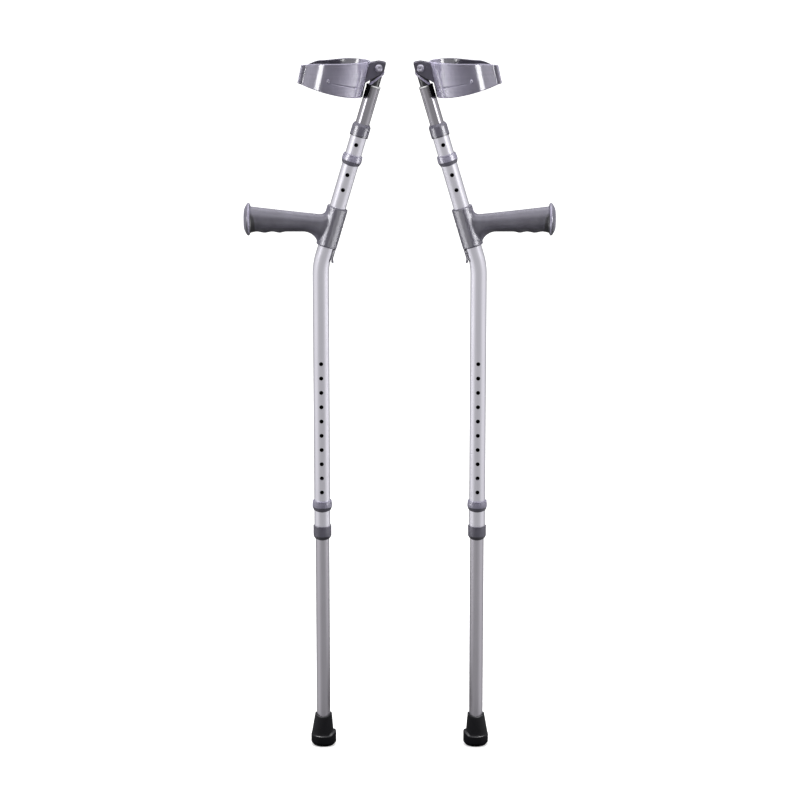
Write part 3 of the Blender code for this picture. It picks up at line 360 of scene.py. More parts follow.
def geometry_tree(name, **sizes):
    """A Geometry Nodes tree with a geometry input and named inputs: a first value, or a kind."""
    kinds = {int: "Int", float: "Float", Vector: "Vector"}
    tree = bpy.data.node_groups.new(name, "GeometryNodeTree")
    tree.interface.new_socket("Geometry", in_out="INPUT", socket_type="NodeSocketGeometry")
    for label, value in {**sizes, "finish": "Material"}.items():
        kind = value if isinstance(value, str) else kinds[type(value)]
        socket = tree.interface.new_socket(label.replace("_", " ").title(), in_out="INPUT",
                                           socket_type=f"NodeSocket{kind}")
        if not isinstance(value, str):
            socket.default_value = value
    tree.interface.new_socket("Geometry", in_out="OUTPUT", socket_type="NodeSocketGeometry")
    return tree, node(tree, "NodeGroupInput").outputs


def end_tree(tree, made, given):
    """Make what a tree has made real, and give it its finish."""
    real = node(tree, "GeometryNodeRealizeInstances", {0: made.outputs[0]}).outputs[0]
    done = node(tree, "GeometryNodeSetMaterial", {"Geometry": real, "Material": given["Finish"]})
    node(tree, "NodeGroupOutput", {"Geometry": done.outputs[0]})


def add_tree(obj, tree, **values):
    """Put a tree on an object. Each input is set by its socket's identifier."""
    modifier = obj.modifiers.new(tree.name, "NODES")
    modifier.node_group = tree
    sockets = {item.name: item.identifier for item in tree.interface.items_tree if item.in_out == "INPUT"}
    for label, value in values.items():
        modifier[sockets[label.replace("_", " ").title()]] = value


def stand_pair(name, mesh, material, body, nodes=(), slot="", place=Matrix(), crease=40):
    """Place one shape on both crutches, the right one mirrored, and hand it to the frame.

    Where it was moulded, before it is placed, is kept on its points for the material's pattern."""
    moulded = mesh.attributes.get("moulded")
    if moulded is None:
        moulded = mesh.attributes.new("moulded", "FLOAT_VECTOR", "POINT")
        moulded.data.foreach_set("vector", [c for vertex in mesh.vertices for c in vertex.co])
    for side, mirror in (("left", 1), ("right", -1)):
        placed = mesh.copy()
        placed.transform(Matrix.Diagonal((mirror, 1, 1, 1)) @ Matrix.Translation((POLE_X, 0, 0)) @ place)
        if mirror < 0:
            bm = bmesh.new()
            bm.from_mesh(placed)
            bmesh.ops.recalc_face_normals(bm, faces=bm.faces)
            bm.to_mesh(placed)
            bm.free()
        placed.shade_smooth()
        placed.set_sharp_from_angle(angle=math.radians(crease))
        placed.materials.clear()
        placed.materials.append(material)
        placed.name = f"{side}_{name}"
        obj = to_object(placed)
        obj.modifiers.new("even_shading", "WEIGHTED_NORMAL").keep_sharp = True
        obj = to_object(settle(obj))
        obj.name = f"{side}_{name}"
        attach(obj, f"{side}_{body}")
        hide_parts(*[f"{side}_{n}" for n in nodes])
        if (side, slot) in lit:
            lit[side, slot].objects.link(obj)
    bpy.data.meshes.remove(mesh)


def start_finish(name, roughness, metallic=0.0, sheen=0.5):
    material = bpy.data.materials.new(name)
    material.use_nodes = True
    tree = material.node_tree
    shader = tree.nodes["Principled BSDF"]
    shader.inputs["Roughness"].default_value = roughness
    shader.inputs["Metallic"].default_value = metallic
    shader.inputs["Specular IOR Level"].default_value = sheen
    return material, tree, shader


def moulded_place(tree):
    """Where each point of a piece was before it was placed, for its pattern."""
    return node(tree, "ShaderNodeAttribute", attribute_name="moulded").outputs["Vector"]


def noise(tree, place, across, along, detail=4.0):
    """Noise with so many grains to a metre across the piece and along it."""
    stretched = node(tree, "ShaderNodeMapping", {"Vector": place, "Scale": (across, across, along)})
    return node(tree, "ShaderNodeTexNoise", {"Vector": stretched.outputs[0], "Scale": 1.0,
                                             "Detail": detail}).outputs[0]


def shade(color, factor=1.0):
    return tuple(min(channel * factor, 1.0) for channel in color) + (1.0,)


def tint(tree, value, dark, light):
    return node(tree, "ShaderNodeMix", {0: value, 6: dark, 7: light}, data_type="RGBA").outputs[2]


def mottled(tree, pattern, color, dark, light):
    """A colour made darker and lighter by two factors, as a noise says."""
    return tint(tree, spread(tree, pattern, 0.3, 0.7, 0.0, 1.0), shade(color, dark), shade(color, light))


def uneven(tree, pattern, roughness, low, high):
    return spread(tree, pattern, 0.3, 0.7, roughness * low, roughness * high)


def wire(tree, shader, color, gloss, height, strength, depth):
    """Link a finish's colour, roughness and relief to its shader."""
    bump = node(tree, "ShaderNodeBump", {"Strength": strength, "Distance": depth, "Height": height})
    tree.links.new(color, shader.inputs["Base Color"])
    tree.links.new(gloss, shader.inputs["Roughness"])
    tree.links.new(bump.outputs[0], shader.inputs["Normal"])


def tube_finish(name, color, roughness, radius, bare_above=None, painted_reflection_above=None):
    """Anodised aluminium with the fine lines of drawing along it, faint clouds, a few scratches and a
    bore painted dark as painted shade. Above one height its rim is bare, and above another its outer side is
    painted nearly black: a painted reflection of the cuff's shaded back."""
    material, tree, shader = start_finish(name, roughness, 1.0)
    place = moulded_place(tree)
    lines = noise(tree, place, 1800, 9, 5.0)
    clouds = noise(tree, place, 55, 22, 3.0)
    scratches = spread(tree, noise(tree, place, 900, 34, 2.0), 0.70, 0.76, 0.0, SCRATCHED)
    tone = tint(tree, scratches, mottled(tree, lines, color, 0.95, 1.03), shade(color, 1.25))
    # The bore is painted nearly black: painted shade inside the tube.
    off_axis = vectors(tree, "LENGTH", vectors(tree, "MULTIPLY", place, (1, 1, 0)))
    bore = spread(tree, off_axis, radius - TUBE_WALL, radius - TUBE_WALL * 0.6, 1.0, 0.0)
    tone = tint(tree, bore, tone, shade(color, BORE_PAINTED_SHADE))
    gloss = uneven(tree, clouds, roughness, 0.85, 1.15)
    if bare_above is not None:
        height, outwards = part_of(tree, place, "Z"), part_of(tree, place, "X")
        bare = spread(tree, height, bare_above - BARE_BLEND, bare_above, 0.0, 1.0)
        tone = tint(tree, bare, tone, shade(BARE))
        gloss = mixed(tree, bare, gloss, BARE_ROUGHNESS)
        # The outer side beside the cuff is painted nearly black: a painted reflection of the cuff's shaded back.
        painted_dark_reflection = maths(tree, "MULTIPLY", spread(tree, height, painted_reflection_above, painted_reflection_above + PAINTED_REFLECTION_BLEND, 0.0, PAINTED_REFLECTION_DARKNESS),
                       spread(tree, outwards, *PAINTED_REFLECTION_SIDE, 1.0, 0.0))
        tone = tint(tree, painted_dark_reflection, tone, (0, 0, 0, 1))
    wire(tree, shader, tone, gloss, lines, 0.25, DRAWN_DEPTH)
    return material


def straighten(point):
    """Where a point of the bent tube was before bending, with the tube straight on Z."""
    tangent = BEND_RADIUS * math.tan(LEAN / 2)
    arc_start = BEND_Z - tangent
    if point.z <= arc_start:
        return (point.x, point.y, point.z)
    turn = math.atan2(point.z - arc_start, BEND_RADIUS - point.x)
    if turn < LEAN:
        ray = math.hypot(point.z - arc_start, BEND_RADIUS - point.x)
        return (BEND_RADIUS - ray, point.y, arc_start + BEND_RADIUS * turn)
    upper = LEANING.inverted() @ point
    return (upper.x, upper.y, arc_start + BEND_RADIUS * LEAN + upper.z - tangent)


sweep_tree, given = geometry_tree("bent_tube_sweep", tube_radius=0.011, bend_radius=0.09, bend_steps=28,
                                  tube_sides=96)
bent = node(sweep_tree, "GeometryNodeFilletCurve", {"Curve": given["Geometry"], "Count": given["Bend Steps"],
                                                    "Radius": given["Bend Radius"]}, mode="POLY")
circle = node(sweep_tree, "GeometryNodeCurvePrimitiveCircle", {"Resolution": given["Tube Sides"],
                                                               "Radius": given["Tube Radius"]})
swept = node(sweep_tree, "GeometryNodeCurveToMesh", {"Curve": bent.outputs[0],
                                                     "Profile Curve": circle.outputs[0]})
end_tree(sweep_tree, swept, given)

holes_tree, given = geometry_tree("pin_hole_row", punch="Object", holes=11, first_hole=Vector((0, 0, 0)),
                                  pitch=Vector((0, 0, 0.02)))
row = node(holes_tree, "GeometryNodeMeshLine", {"Count": given["Holes"], "Start Location": given["First Hole"],
                                                "Offset": given["Pitch"]})
punch_shape = node(holes_tree, "GeometryNodeObjectInfo", {"Object": given["Punch"]})
punches = node(holes_tree, "GeometryNodeInstanceOnPoints", {"Points": row.outputs[0],
                                                            "Instance": punch_shape.outputs["Geometry"]})
all_punches = node(holes_tree, "GeometryNodeRealizeInstances", {0: punches.outputs[0]})
punched = node(holes_tree, "GeometryNodeMeshBoolean", {"Mesh 1": given["Geometry"],
                                                       "Mesh 2": all_punches.outputs[0]},
               operation="DIFFERENCE", solver="EXACT")
end_tree(holes_tree, punched, given)

tube_low = reach("left_outer_tube")[0]
tube_high = reach("left_outer_tube", LEANING)[1]
tube_r = (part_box("left_outer_tube")[1].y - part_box("left_outer_tube")[0].y) / 2
bright_tube = tube_finish("anodised_tube", ANODISED, 0.36, tube_r)


def bent_sweep(name, radius, finish):
    """A round skin of one radius along the line of the bent tube."""
    line = bpy.data.curves.new(name, "CURVE")
    line.dimensions = "3D"
    spline = line.splines.new("POLY")
    spline.points.add(2)
    corners = ((0, 0, tube_low), (0, 0, BEND_Z), LEANING @ Vector((0, 0, tube_high)))
    for point, corner in zip(spline.points, corners):
        point.co = (*corner, 1)
    tube = bpy.data.objects.new(name, line)
    bpy.context.scene.collection.objects.link(tube)
    add_tree(tube, sweep_tree, tube_radius=radius, bend_radius=BEND_RADIUS, bend_steps=BEND_STEPS,
             tube_sides=TUBE_SIDES, finish=finish)
    return settle(tube)


near_wall = Matrix.Translation((0, -tube_r * 0.95, 0)) @ ALONG_Y
punch = to_object(to_mesh(rod(HOLE_D / 2, tube_r, near_wall, 32), "hole_punch"))
skin = to_object(bent_sweep("bent_tube", tube_r, bright_tube))
wall = skin.modifiers.new("wall", "SOLIDIFY")
wall.thickness = TUBE_WALL
wall.offset = -1
wall.use_even_offset = True
add_tree(skin, holes_tree, punch=punch, holes=LEG_HOLES, first_hole=Vector((0, 0, tube_low + LEG_END_TO_HOLE)),
         pitch=Vector((0, 0, LEG_PITCH)), finish=bright_tube)
add_tree(skin, holes_tree, punch=punch, holes=FOREARM_HOLES,
         first_hole=LEANING @ Vector((0, 0, tube_high - FOREARM_END_TO_HOLE)),
         pitch=LEANING.to_3x3() @ Vector((0, 0, -FOREARM_PITCH)), finish=bright_tube)
rims = skin.modifiers.new("broken_edges", "BEVEL")
rims.width = HOLE_RIM
rims.segments = 2
rims.limit_method = "ANGLE"
rims.angle_limit = math.radians(50)
tube_mesh = settle(skin)
before_bending = tube_mesh.attributes.new("moulded", "FLOAT_VECTOR", "POINT")
before_bending.data.foreach_set("vector", [c for vertex in tube_mesh.vertices for c in straighten(vertex.co)])
stand_pair("bent_tube", tube_mesh, bright_tube, "frame", ["outer_tube"], "tube")


# Sliding tubes. The same aluminium in a thinner bore size with a darker satin anodising: the leg
# tube runs down into the ferrule, and the forearm tube ends in a rolled rim that holds the cuff's plug.
LEG_PIN_FROM_TOP = 0.035
FOREARM_PIN_FROM_END = 0.0375
END_ROUND = 0.0004
RIM_BEAD = 0.0005            # how far the forearm tube's rim is rolled outwards
RIM_HEIGHT = 0.0016
SATIN = (0.56, 0.54, 0.59)
FOREARM_SHADE = 0.68         # the forearm tube is darker and glossier
PAINTED_REFLECTION_HEIGHT = 0.0175         # of its painted dark reflection, beside the cuff


def rounded(outline, steps=5):
    """Turn the corners of a closed outline of (a, b, radius) points into arcs."""
    points = []
    count = len(outline)
    for i, (a, b, radius) in enumerate(outline):
        here = Vector((a, b))
        back = Vector(outline[i - 1][:2]) - here
        ahead = Vector(outline[(i + 1) % count][:2]) - here
        half = back.angle(ahead) / 2
        if radius <= 0 or half > math.radians(89):
            points.append((a, b))
            continue
        setback = min(radius / math.tan(half), back.length * 0.49, ahead.length * 0.49)
        radius = setback * math.tan(half)
        middle = here + (back.normalized() + ahead.normalized()).normalized() * radius / math.sin(half)
        start = here + back.normalized() * setback - middle
        turn = start.angle_signed(here + ahead.normalized() * setback - middle)
        for k in range(steps + 1):
            angle = -turn * k / steps
            points.append((middle.x + start.x * math.cos(angle) - start.y * math.sin(angle),
                           middle.y + start.x * math.sin(angle) + start.y * math.cos(angle)))
    return points


def turned(profile, sides=TUBE_SIDES, sweep=math.tau):
    """Turn a closed profile of (radius, height) points about Z. A part turn gets flat ends."""
    bm = bmesh.new()
    full = sweep > math.tau - 1e-6
    places = sides if full else sides + 1
    rings = []
    for radius, height in profile:
        turns = [sweep * i / sides for i in range(places)] if radius > 1e-7 else [0.0]
        rings.append([bm.verts.new((radius * math.cos(t), radius * math.sin(t), height)) for t in turns])
    for lower, upper in zip(rings, rings[1:] + rings[:1]):
        for i in range(sides):
            j = (i + 1) % places
            corners = dict.fromkeys(ring[k % len(ring)] for ring, k in
                                    ((lower, i), (lower, j), (upper, j), (upper, i)))
            if len(corners) > 2:
                bm.faces.new(list(corners))
    if not full:
        bm.faces.new([ring[0] for ring in rings])
        bm.faces.new([ring[-1] for ring in reversed(rings)])
    return bm


def sliding_tube(name, low, high, pin, step, holes, bead, material, body, covered, place=Matrix()):
    """A tube with its pin hole, and beside it the holes that line up with the bent tube's next ones."""
    profile = [(slide_r - TUBE_WALL, low, END_ROUND), (slide_r, low, END_ROUND)]
    if bead:
        profile += [(slide_r, high - RIM_HEIGHT * 1.8, RIM_HEIGHT),
                    (slide_r + RIM_BEAD, high - RIM_HEIGHT, RIM_HEIGHT),
                    (slide_r + RIM_BEAD, high, RIM_HEIGHT * 0.45)]
    else:
        profile += [(slide_r, high, END_ROUND)]
    profile += [(slide_r - TUBE_WALL, high, END_ROUND)]
    tube = to_object(to_mesh(turned(rounded(profile)), name))
    add_tree(tube, holes_tree, punch=punch, holes=holes, first_hole=Vector((0, 0, pin)),
             pitch=Vector((0, 0, step)), finish=material)
    stand_pair(name, settle(tube), material, body, [covered], "satin", place)


slide_r = (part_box("left_leg_tube")[1].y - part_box("left_leg_tube")[0].y) / 2
leg_low, leg_high = reach("left_leg_tube")
arm_low, arm_high = reach("left_forearm_tube", LEANING)
leg_finish = tube_finish("satin_leg_tube", SATIN, 0.38, slide_r)
arm_finish = tube_finish("satin_forearm_tube", shade(SATIN, FOREARM_SHADE)[:3], 0.16, slide_r,
                         arm_high - RIM_HEIGHT, arm_high - PAINTED_REFLECTION_HEIGHT)
sliding_tube("leg_pole", leg_low, leg_high, leg_high - LEG_PIN_FROM_TOP, LEG_PITCH, 2, False, leg_finish,
             "leg", "leg_tube")
sliding_tube("forearm_pole", arm_low, arm_high, arm_low + FOREARM_PIN_FROM_END - FOREARM_PITCH, FOREARM_PITCH, 3,
             True, arm_finish, "forearm", "forearm_tube", LEANING)


# Collars. Grey nylon caps pushed over the bent tube's two ends, whose lips close down onto the
# sliding tubes and stop them rattling. The mould's halves leave a fine line down each side.
FIT = 0.0003                 # round whatever sits on a tube
COLLAR_D = 0.0250
COLLAR_LIP = 0.0022
COLLAR_CHAMFER = 0.0034
FRONT_DIP = 0.0014           # how far the lower edges reach down at the front, of the clips too
UNDERSIDE_PAINTED_SHADE = 0.4              # how much darker the lower bevel is painted: painted shade
GREY = (0.116, 0.110, 0.145)
SEAM_WIDTH = 0.00035         # of the ridge where a mould's halves met, to each side
MARK_EDGE = 0.75             # share of a mark's size at which it starts to fade


def moulded_finish(name, color, roughness, grain=2600, grain_depth=0.00003, seam=0.0, streaks=0.0, edge_wear_and_highlight=1.5,
                   sheen=0.5, painted_marks=(), hollow=0.0):
    """Moulded plastic: a spark-eroded grain, clouds in the colour, lighter edges that stand both for
    wear and for painted highlight, and where the mould's halves met a raised seam on the plane Y = 0.
    Each painted mark is a place of painted light or shade: its centre, its half sizes, its turn about
    Y and how much lighter it is painted. Painted inner shade makes a piece darker by that factor where its
    attribute of the same name says inside."""
    material, tree, shader = start_finish(name, roughness, sheen=sheen)
    place = moulded_place(tree)
    clouds = noise(tree, place, 70, 45)
    height = noise(tree, place, grain, grain, 2.0)
    tone = mottled(tree, clouds, color, 0.90, 1.10)
    if streaks:
        flow = noise(tree, place, 12, 420, 3.0)
        tone = tint(tree, spread(tree, flow, 0.35, 0.65, 0.0, streaks), tone, shade(color, 1.35))
        height = maths(tree, "ADD", height, maths(tree, "MULTIPLY", flow, 14.0))
    # Convex edges are painted lighter: partly wear, and with a large factor a painted highlight.
    rubbed_and_lit_edge = spread(tree, node(tree, "ShaderNodeNewGeometry").outputs["Pointiness"], 0.52, 0.60, 0.0, 0.45)
    tone = tint(tree, rubbed_and_lit_edge, tone, shade(color, edge_wear_and_highlight))
    near_side = vectors(tree, "MINIMUM", place, vectors(tree, "MULTIPLY", place, (1, -1, 1)))
    # Each mark paints light or shade into the colour: below one it is painted shade, above one a painted highlight.
    for centre, sizes, turn, painted_factor in painted_marks:
        there = node(tree, "ShaderNodeMapping", {"Vector": near_side, "Location": centre,
                                                 "Rotation": (0, turn, 0), "Scale": sizes}, vector_type="TEXTURE")
        inside = spread(tree, vectors(tree, "LENGTH", there.outputs[0]), MARK_EDGE, 1.0, 1.0, 0.0)
        tone = tint(tree, inside, tone, shade(color, painted_factor))
    # Painted shade on a piece's inside.
    if hollow:
        inside = node(tree, "ShaderNodeAttribute", attribute_name="hollow").outputs["Fac"]
        tone = tint(tree, inside, tone, shade(color, hollow))
    if seam:
        apart = maths(tree, "ABSOLUTE", part_of(tree, place, "Y"))
        height = maths(tree, "ADD", height, spread(tree, apart, 0.0, SEAM_WIDTH, seam, 0.0))
    wire(tree, shader, tone, uneven(tree, clouds, roughness, 0.88, 1.12), height, 0.6, grain_depth)
    return material


def painted_underside_shade(low, height):
    """A mark of painted shade on the lower bevel, which faces down."""
    return (0, 0, low), (1, 1, height * 1.15), 0, UNDERSIDE_PAINTED_SHADE


def dip_front(bm, low, height):
    """Draw a ring's lower edge down at its front, less and less up to a height."""
    for vert in bm.verts:
        front = max(-vert.co.y / math.hypot(vert.co.x, vert.co.y), 0)
        vert.co.z -= FRONT_DIP * front ** 3 * max(1 - (vert.co.z - low) / height, 0)


leg_collar, forearm_collar = reach("left_leg_collar"), reach("left_forearm_collar", LEANING)
# The collars' lower bevels are painted darker: painted shade.
grey_nylon = moulded_finish("grey_nylon", GREY, 0.36, grain_depth=0.000005, seam=12.0, painted_marks=[
    painted_underside_shade(leg_collar[0], COLLAR_CHAMFER), painted_underside_shade(forearm_collar[0], COLLAR_CHAMFER * 0.6)])


def collar(name, low, high, mouth_up, place=Matrix()):
    """The shell round the tube, with its lip and the long chamfer at the mouth."""
    outer = COLLAR_D / 2
    over_tube, over_slide = tube_r + FIT, slide_r + FIT
    step = high - COLLAR_LIP if mouth_up else low + COLLAR_LIP
    mouth, back, away = (high, low, 1) if mouth_up else (low, high, -1)
    profile = [(over_tube, back, 0.0003), (outer, back, 0.0009), (outer, mouth - away * COLLAR_CHAMFER, 0.003),
               (outer - COLLAR_CHAMFER * 0.6, mouth, 0.0007), (over_slide, mouth, 0.0003),
               (over_slide, step, 0), (over_tube, step, 0)]
    shell = turned(rounded(profile, 6))
    if not mouth_up:
        dip_front(shell, low, COLLAR_CHAMFER)
    stand_pair(name, to_mesh(shell, name), grey_nylon, "frame", [name], "fitting", place)


collar("leg_collar", *leg_collar, False)
collar("forearm_collar", *forearm_collar, True, LEANING)


# Spring clips. Open rings of the same nylon that snap round the bent tube. A peg moulded inside
# each goes through both tubes' walls, and a short slot above it takes a fingernail.
CLIP_D = 0.0272
CLIP_WRAP = math.radians(250)
CLIP_CHAMFER = 0.0044
CLIP_CROWN = 0.0058          # height of the upper part, which leans in a little
CLIP_SLOT = (0.0105, 0.0011, 0.0009)   # wide, high and deep
CLIP_SLOT_BELOW_TOP = 0.0022
CLIP_SHADE = 2.2             # how much lighter its nylon is
PEG_D = 0.0050
PEG_PAST_WALL = 0.0010


def carved(mesh, *steps):
    """A plain mesh with other shapes joined to it or cut out of it, one after the other."""
    whole = to_object(mesh)
    helpers = []
    for operation, shape in steps:
        helpers.append(to_object(to_mesh(shape, "helper")))
        carve = whole.modifiers.new("carve", "BOOLEAN")
        carve.operation, carve.object = operation, helpers[-1]
    mesh = settle(whole)
    for helper in helpers:
        bpy.data.objects.remove(helper)
    return mesh


def block(sizes, place=Matrix()):
    bm = bmesh.new()
    bmesh.ops.create_cube(bm, size=1, matrix=place @ Matrix.Diagonal((*sizes, 1)))
    return bm


def spring_clip(name, low, high, body, place=Matrix()):
    outer = CLIP_D / 2
    inner = tube_r + FIT
    profile = [(inner, low, 0.0003), (outer - (outer - inner) * 0.8, low, 0.0006),
               (outer, low + CLIP_CHAMFER, 0.002), (outer, high - CLIP_CROWN, 0.006),
               (outer - CLIP_CROWN * 0.10, high, 0.0008), (inner, high, 0.0003)]
    ring = turned(rounded(profile, 6), 80, CLIP_WRAP)
    bmesh.ops.rotate(ring, verts=ring.verts, cent=(0, 0, 0),
                     matrix=Matrix.Rotation(-math.pi / 2 - CLIP_WRAP / 2, 3, "Z"))
    ends = [edge for edge in ring.edges if edge.calc_face_angle(0) > math.radians(80)]
    bmesh.ops.bevel(ring, geom=ends, offset=0.0004, segments=3, affect="EDGES", clamp_overlap=True)
    dip_front(ring, low, CLIP_CHAMFER)
    wide, tall, deep = CLIP_SLOT
    slot = block((wide, deep * 2, tall), Matrix.Translation((0, -outer, high - CLIP_SLOT_BELOW_TOP)))
    peg_end = slide_r - TUBE_WALL - PEG_PAST_WALL
    peg_start = (inner + outer) / 2
    peg = turned(rounded([(0, peg_end, 0), (PEG_D / 2, peg_end, 0.0007), (PEG_D / 2, peg_start, 0),
                          (0, peg_start, 0)]), 32)
    peg.transform(Matrix.Translation((0, 0, (low + high) / 2)) @ ALONG_Y)
    clip = carved(to_mesh(ring, name), ("DIFFERENCE", slot), ("UNION", peg))
    stand_pair(name, clip, clip_nylon, body, [name], "fitting", place)


leg_clip, forearm_clip = reach("left_leg_clip"), reach("left_forearm_clip", LEANING)
# The clips' lower bevels are painted darker: painted shade.
clip_nylon = moulded_finish("clip_nylon", shade(GREY, CLIP_SHADE)[:3], 0.30, grain_depth=0.000005, painted_marks=[
    painted_underside_shade(leg_clip[0], CLIP_CHAMFER), painted_underside_shade(forearm_clip[0], CLIP_CHAMFER)])
spring_clip("leg_clip", *leg_clip, "leg_clip")
spring_clip("forearm_clip", *forearm_clip, "forearm_clip", LEANING)


# Ferrule. Black moulded rubber, pushed up over the leg tube's end: a ringed tread, a chamfered base
# whose heel stands higher at the back, fine ribs round the foot of its neck, and a thinner mouth.
FERRULE_HEIGHT = 0.0459
FERRULE_BASE_D = 0.0350
FERRULE_FOOT_D = 0.0286
FERRULE_FOOT_RISE = 0.0042
FERRULE_MOUTH_D = 0.0232
FERRULE_MOUTH_DIP = 0.0034   # of the mouth's rim, at its front and its back
FERRULE_SHOULDER_Z = 0.0152
FERRULE_HEEL_RISE = 0.0042
FERRULE_HEEL_SIDES = (0.55, 0.95)   # cosines of the angles from the back between which it rises
FERRULE_NECK_D = 0.0312
FERRULE_NECK_SHIFT = 0.0015  # how far outwards the neck's foot stands
FERRULE_FLOOR = 0.009
TREAD_DEPTH = 0.0008
TREAD_WIDTH = 0.0020
TREAD_LAND_D = 0.0100
NECK_RIBS = 36
NECK_RIB_DEPTH = 0.00025
NECK_RIBS_END = 0.35         # shares of the neck's height, of the ribs' end and of its stations
NECK_STATIONS = (0.06, 0.12, 0.2, 0.3, 0.45, 0.6, 0.8, 0.96)
FERRULE_SIDES = 216
RUBBER = (0.0050, 0.0049, 0.0074)


def smooth_step(value, low, high):
    share = min(max((value - low) / (high - low), 0.0), 1.0)
    return share * share * (3 - 2 * share)


def lofted(rings, closed=True):
    """Skin rings of as many points each, and cap the first and the last."""
    bm = bmesh.new()
    loops = [[bm.verts.new(point) for point in ring] for ring in rings]
    count = len(loops[0])
    for lower, upper in zip(loops, loops[1:]):
        for i in range(count):
            j = (i + 1) % count
            bm.faces.new((lower[i], lower[j], upper[j], upper[i]))
    if closed:
        bm.faces.new(loops[0][::-1])
        bm.faces.new(loops[-1])
    return bm


def ferrule_shape():
    base_r, neck_r, mouth_r = FERRULE_BASE_D / 2, FERRULE_NECK_D / 2, FERRULE_MOUTH_D / 2
    foot_r, land_r, socket_r = FERRULE_FOOT_D / 2, TREAD_LAND_D / 2, slide_r + FIT
    lip = (mouth_r - socket_r) / 2

    def up_the_neck(height):
        return (height - FERRULE_SHOULDER_Z) / (FERRULE_HEIGHT - FERRULE_SHOULDER_Z)

    sections = []
    for i in range(FERRULE_SIDES):
        angle = math.tau * i / FERRULE_SIDES
        shoulder = FERRULE_SHOULDER_Z + FERRULE_HEEL_RISE * smooth_step(math.cos(angle), *FERRULE_HEEL_SIDES)
        mouth = FERRULE_HEIGHT - FERRULE_MOUTH_DIP * math.sin(angle) ** 2
        outline = []
        for inner in (land_r, (land_r + foot_r) / 2):
            outline += [(inner, 0, 0.0002), (inner, TREAD_DEPTH, 0.0002),
                        (inner + TREAD_WIDTH, TREAD_DEPTH, 0.0002), (inner + TREAD_WIDTH, 0, 0.0002)]
        outline += [(foot_r, 0, 0.0010), (base_r, FERRULE_FOOT_RISE, 0.0016), (base_r, shoulder, 0.0022),
                    (neck_r, shoulder + lip * 0.6, 0.0006)]
        low = shoulder + lip
        for share in NECK_STATIONS:
            height = low + (mouth - low) * share
            rib = NECK_RIB_DEPTH * (0.5 + 0.5 * math.cos(NECK_RIBS * angle))
            rib *= smooth_step(NECK_RIBS_END - share, 0.0, 0.2)
            outline.append((neck_r + (mouth_r - neck_r) * up_the_neck(height) - rib, height, 0.0))
        outline += [(mouth_r, mouth, 0.0006), (socket_r, mouth, 0.0005), (socket_r, FERRULE_FLOOR, 0.0)]
        outline = rounded(outline + [(0.0, -0.001, 0.0)], 3)[:-1]
        section = []
        for radius, height in [(0.0, 0.0)] + outline + [(0.0, FERRULE_FLOOR)]:
            shift = FERRULE_NECK_SHIFT * (1 - min(max(up_the_neck(height), 0.0), 1.0))
            shift *= 1 - smooth_step(radius, neck_r, base_r - 0.0004)
            if radius < socket_r + 1e-5 or height < FERRULE_SHOULDER_Z:
                shift = 0.0
            section.append((radius * math.cos(angle) - shift, radius * math.sin(angle), height))
        sections.append(section)
    return to_mesh(lofted(list(zip(*sections)), closed=False), "ferrule")


# The rubber's edges are painted six times lighter: a painted highlight on the ferrule's ridge.
black_rubber = moulded_finish("black_rubber", RUBBER, 0.42, grain=1500, grain_depth=0.00002, edge_wear_and_highlight=6.0, sheen=0.2)
stand_pair("rubber_ferrule", ferrule_shape(), black_rubber, "leg", ["ferrule"], "rubber")


# Cuff plug. Dark nylon, driven into the forearm tube's top: a short neck cut off at a slant under a
# thin lip, and a round-ended tang that stands up between the bracket's cheeks and takes the rivet.
RIVET = (RIVET_PLACE - Vector((POLE_X, 0, BEND_Z))).length
PLUG_DEPTH = 0.034
PLUG_NECK_D = 0.0148
PLUG_CUT_ABOVE_RIM = 0.0095
PLUG_CUT_ANGLE = math.radians(53.5)
PLUG_LIP_D = 0.0180
PLUG_LIP_THICKNESS = 0.0024
PLUG_EDGE = 0.0004
PLUG_LIP_EDGE = 0.0011
TANG_WIDTH = 0.013
TANG_THICKNESS = 0.008
RIVET_SHANK_D = 0.0058
DARK = (0.102, 0.095, 0.126)
PLUG_PAINTED_SHADE = 0.22            # the plug is painted darker than the bracket, painted shade, and its lip lighter than the plug, a painted highlight
PLUG_LIP_PAINTED_HIGHLIGHT = 30
PLUG_LIP_REACH = 0.05        # of the lip's mark, well past its edge


def slice_off(bm, point, normal):
    """Remove what lies on the normal's side of a plane, and close the cut."""
    geometry = bm.verts[:] + bm.edges[:] + bm.faces[:]
    bmesh.ops.bisect_plane(bm, geom=geometry, plane_co=point, plane_no=normal, clear_outer=True)
    bmesh.ops.holes_fill(bm, edges=[edge for edge in bm.edges if edge.is_boundary], sides=0)


def extruded(outline, half_width, edge=0.0, segments=3):
    """A plate with the outline of (x, z) points, to both sides along Y, with softened rims."""
    bm = lofted([[(x, y, z) for x, z in outline] for y in (-half_width, half_width)])
    if edge:
        rims = [e for e in bm.edges if abs(e.verts[0].co.y - e.verts[1].co.y) < 1e-9]
        bmesh.ops.bevel(bm, geom=rims, offset=edge, segments=segments, affect="EDGES", clamp_overlap=True)
    return bm


def soften(bm, width, least=35, segments=3):
    """Bevel every edge that is sharper than an angle."""
    bm.normal_update()
    edges = [e for e in bm.edges if len(e.link_faces) == 2 and e.calc_face_angle(0) > math.radians(least)]
    bmesh.ops.bevel(bm, geom=edges, offset=width, segments=segments, affect="EDGES", clamp_overlap=True)
    return bm


PLUG_CUT = Vector((0, 0, arm_high + PLUG_CUT_ABOVE_RIM))
PLUG_SLANT = Vector((-math.sin(PLUG_CUT_ANGLE), 0, math.cos(PLUG_CUT_ANGLE)))
PLUG_LIP_MIDDLE = PLUG_CUT - PLUG_SLANT * PLUG_LIP_THICKNESS / 2


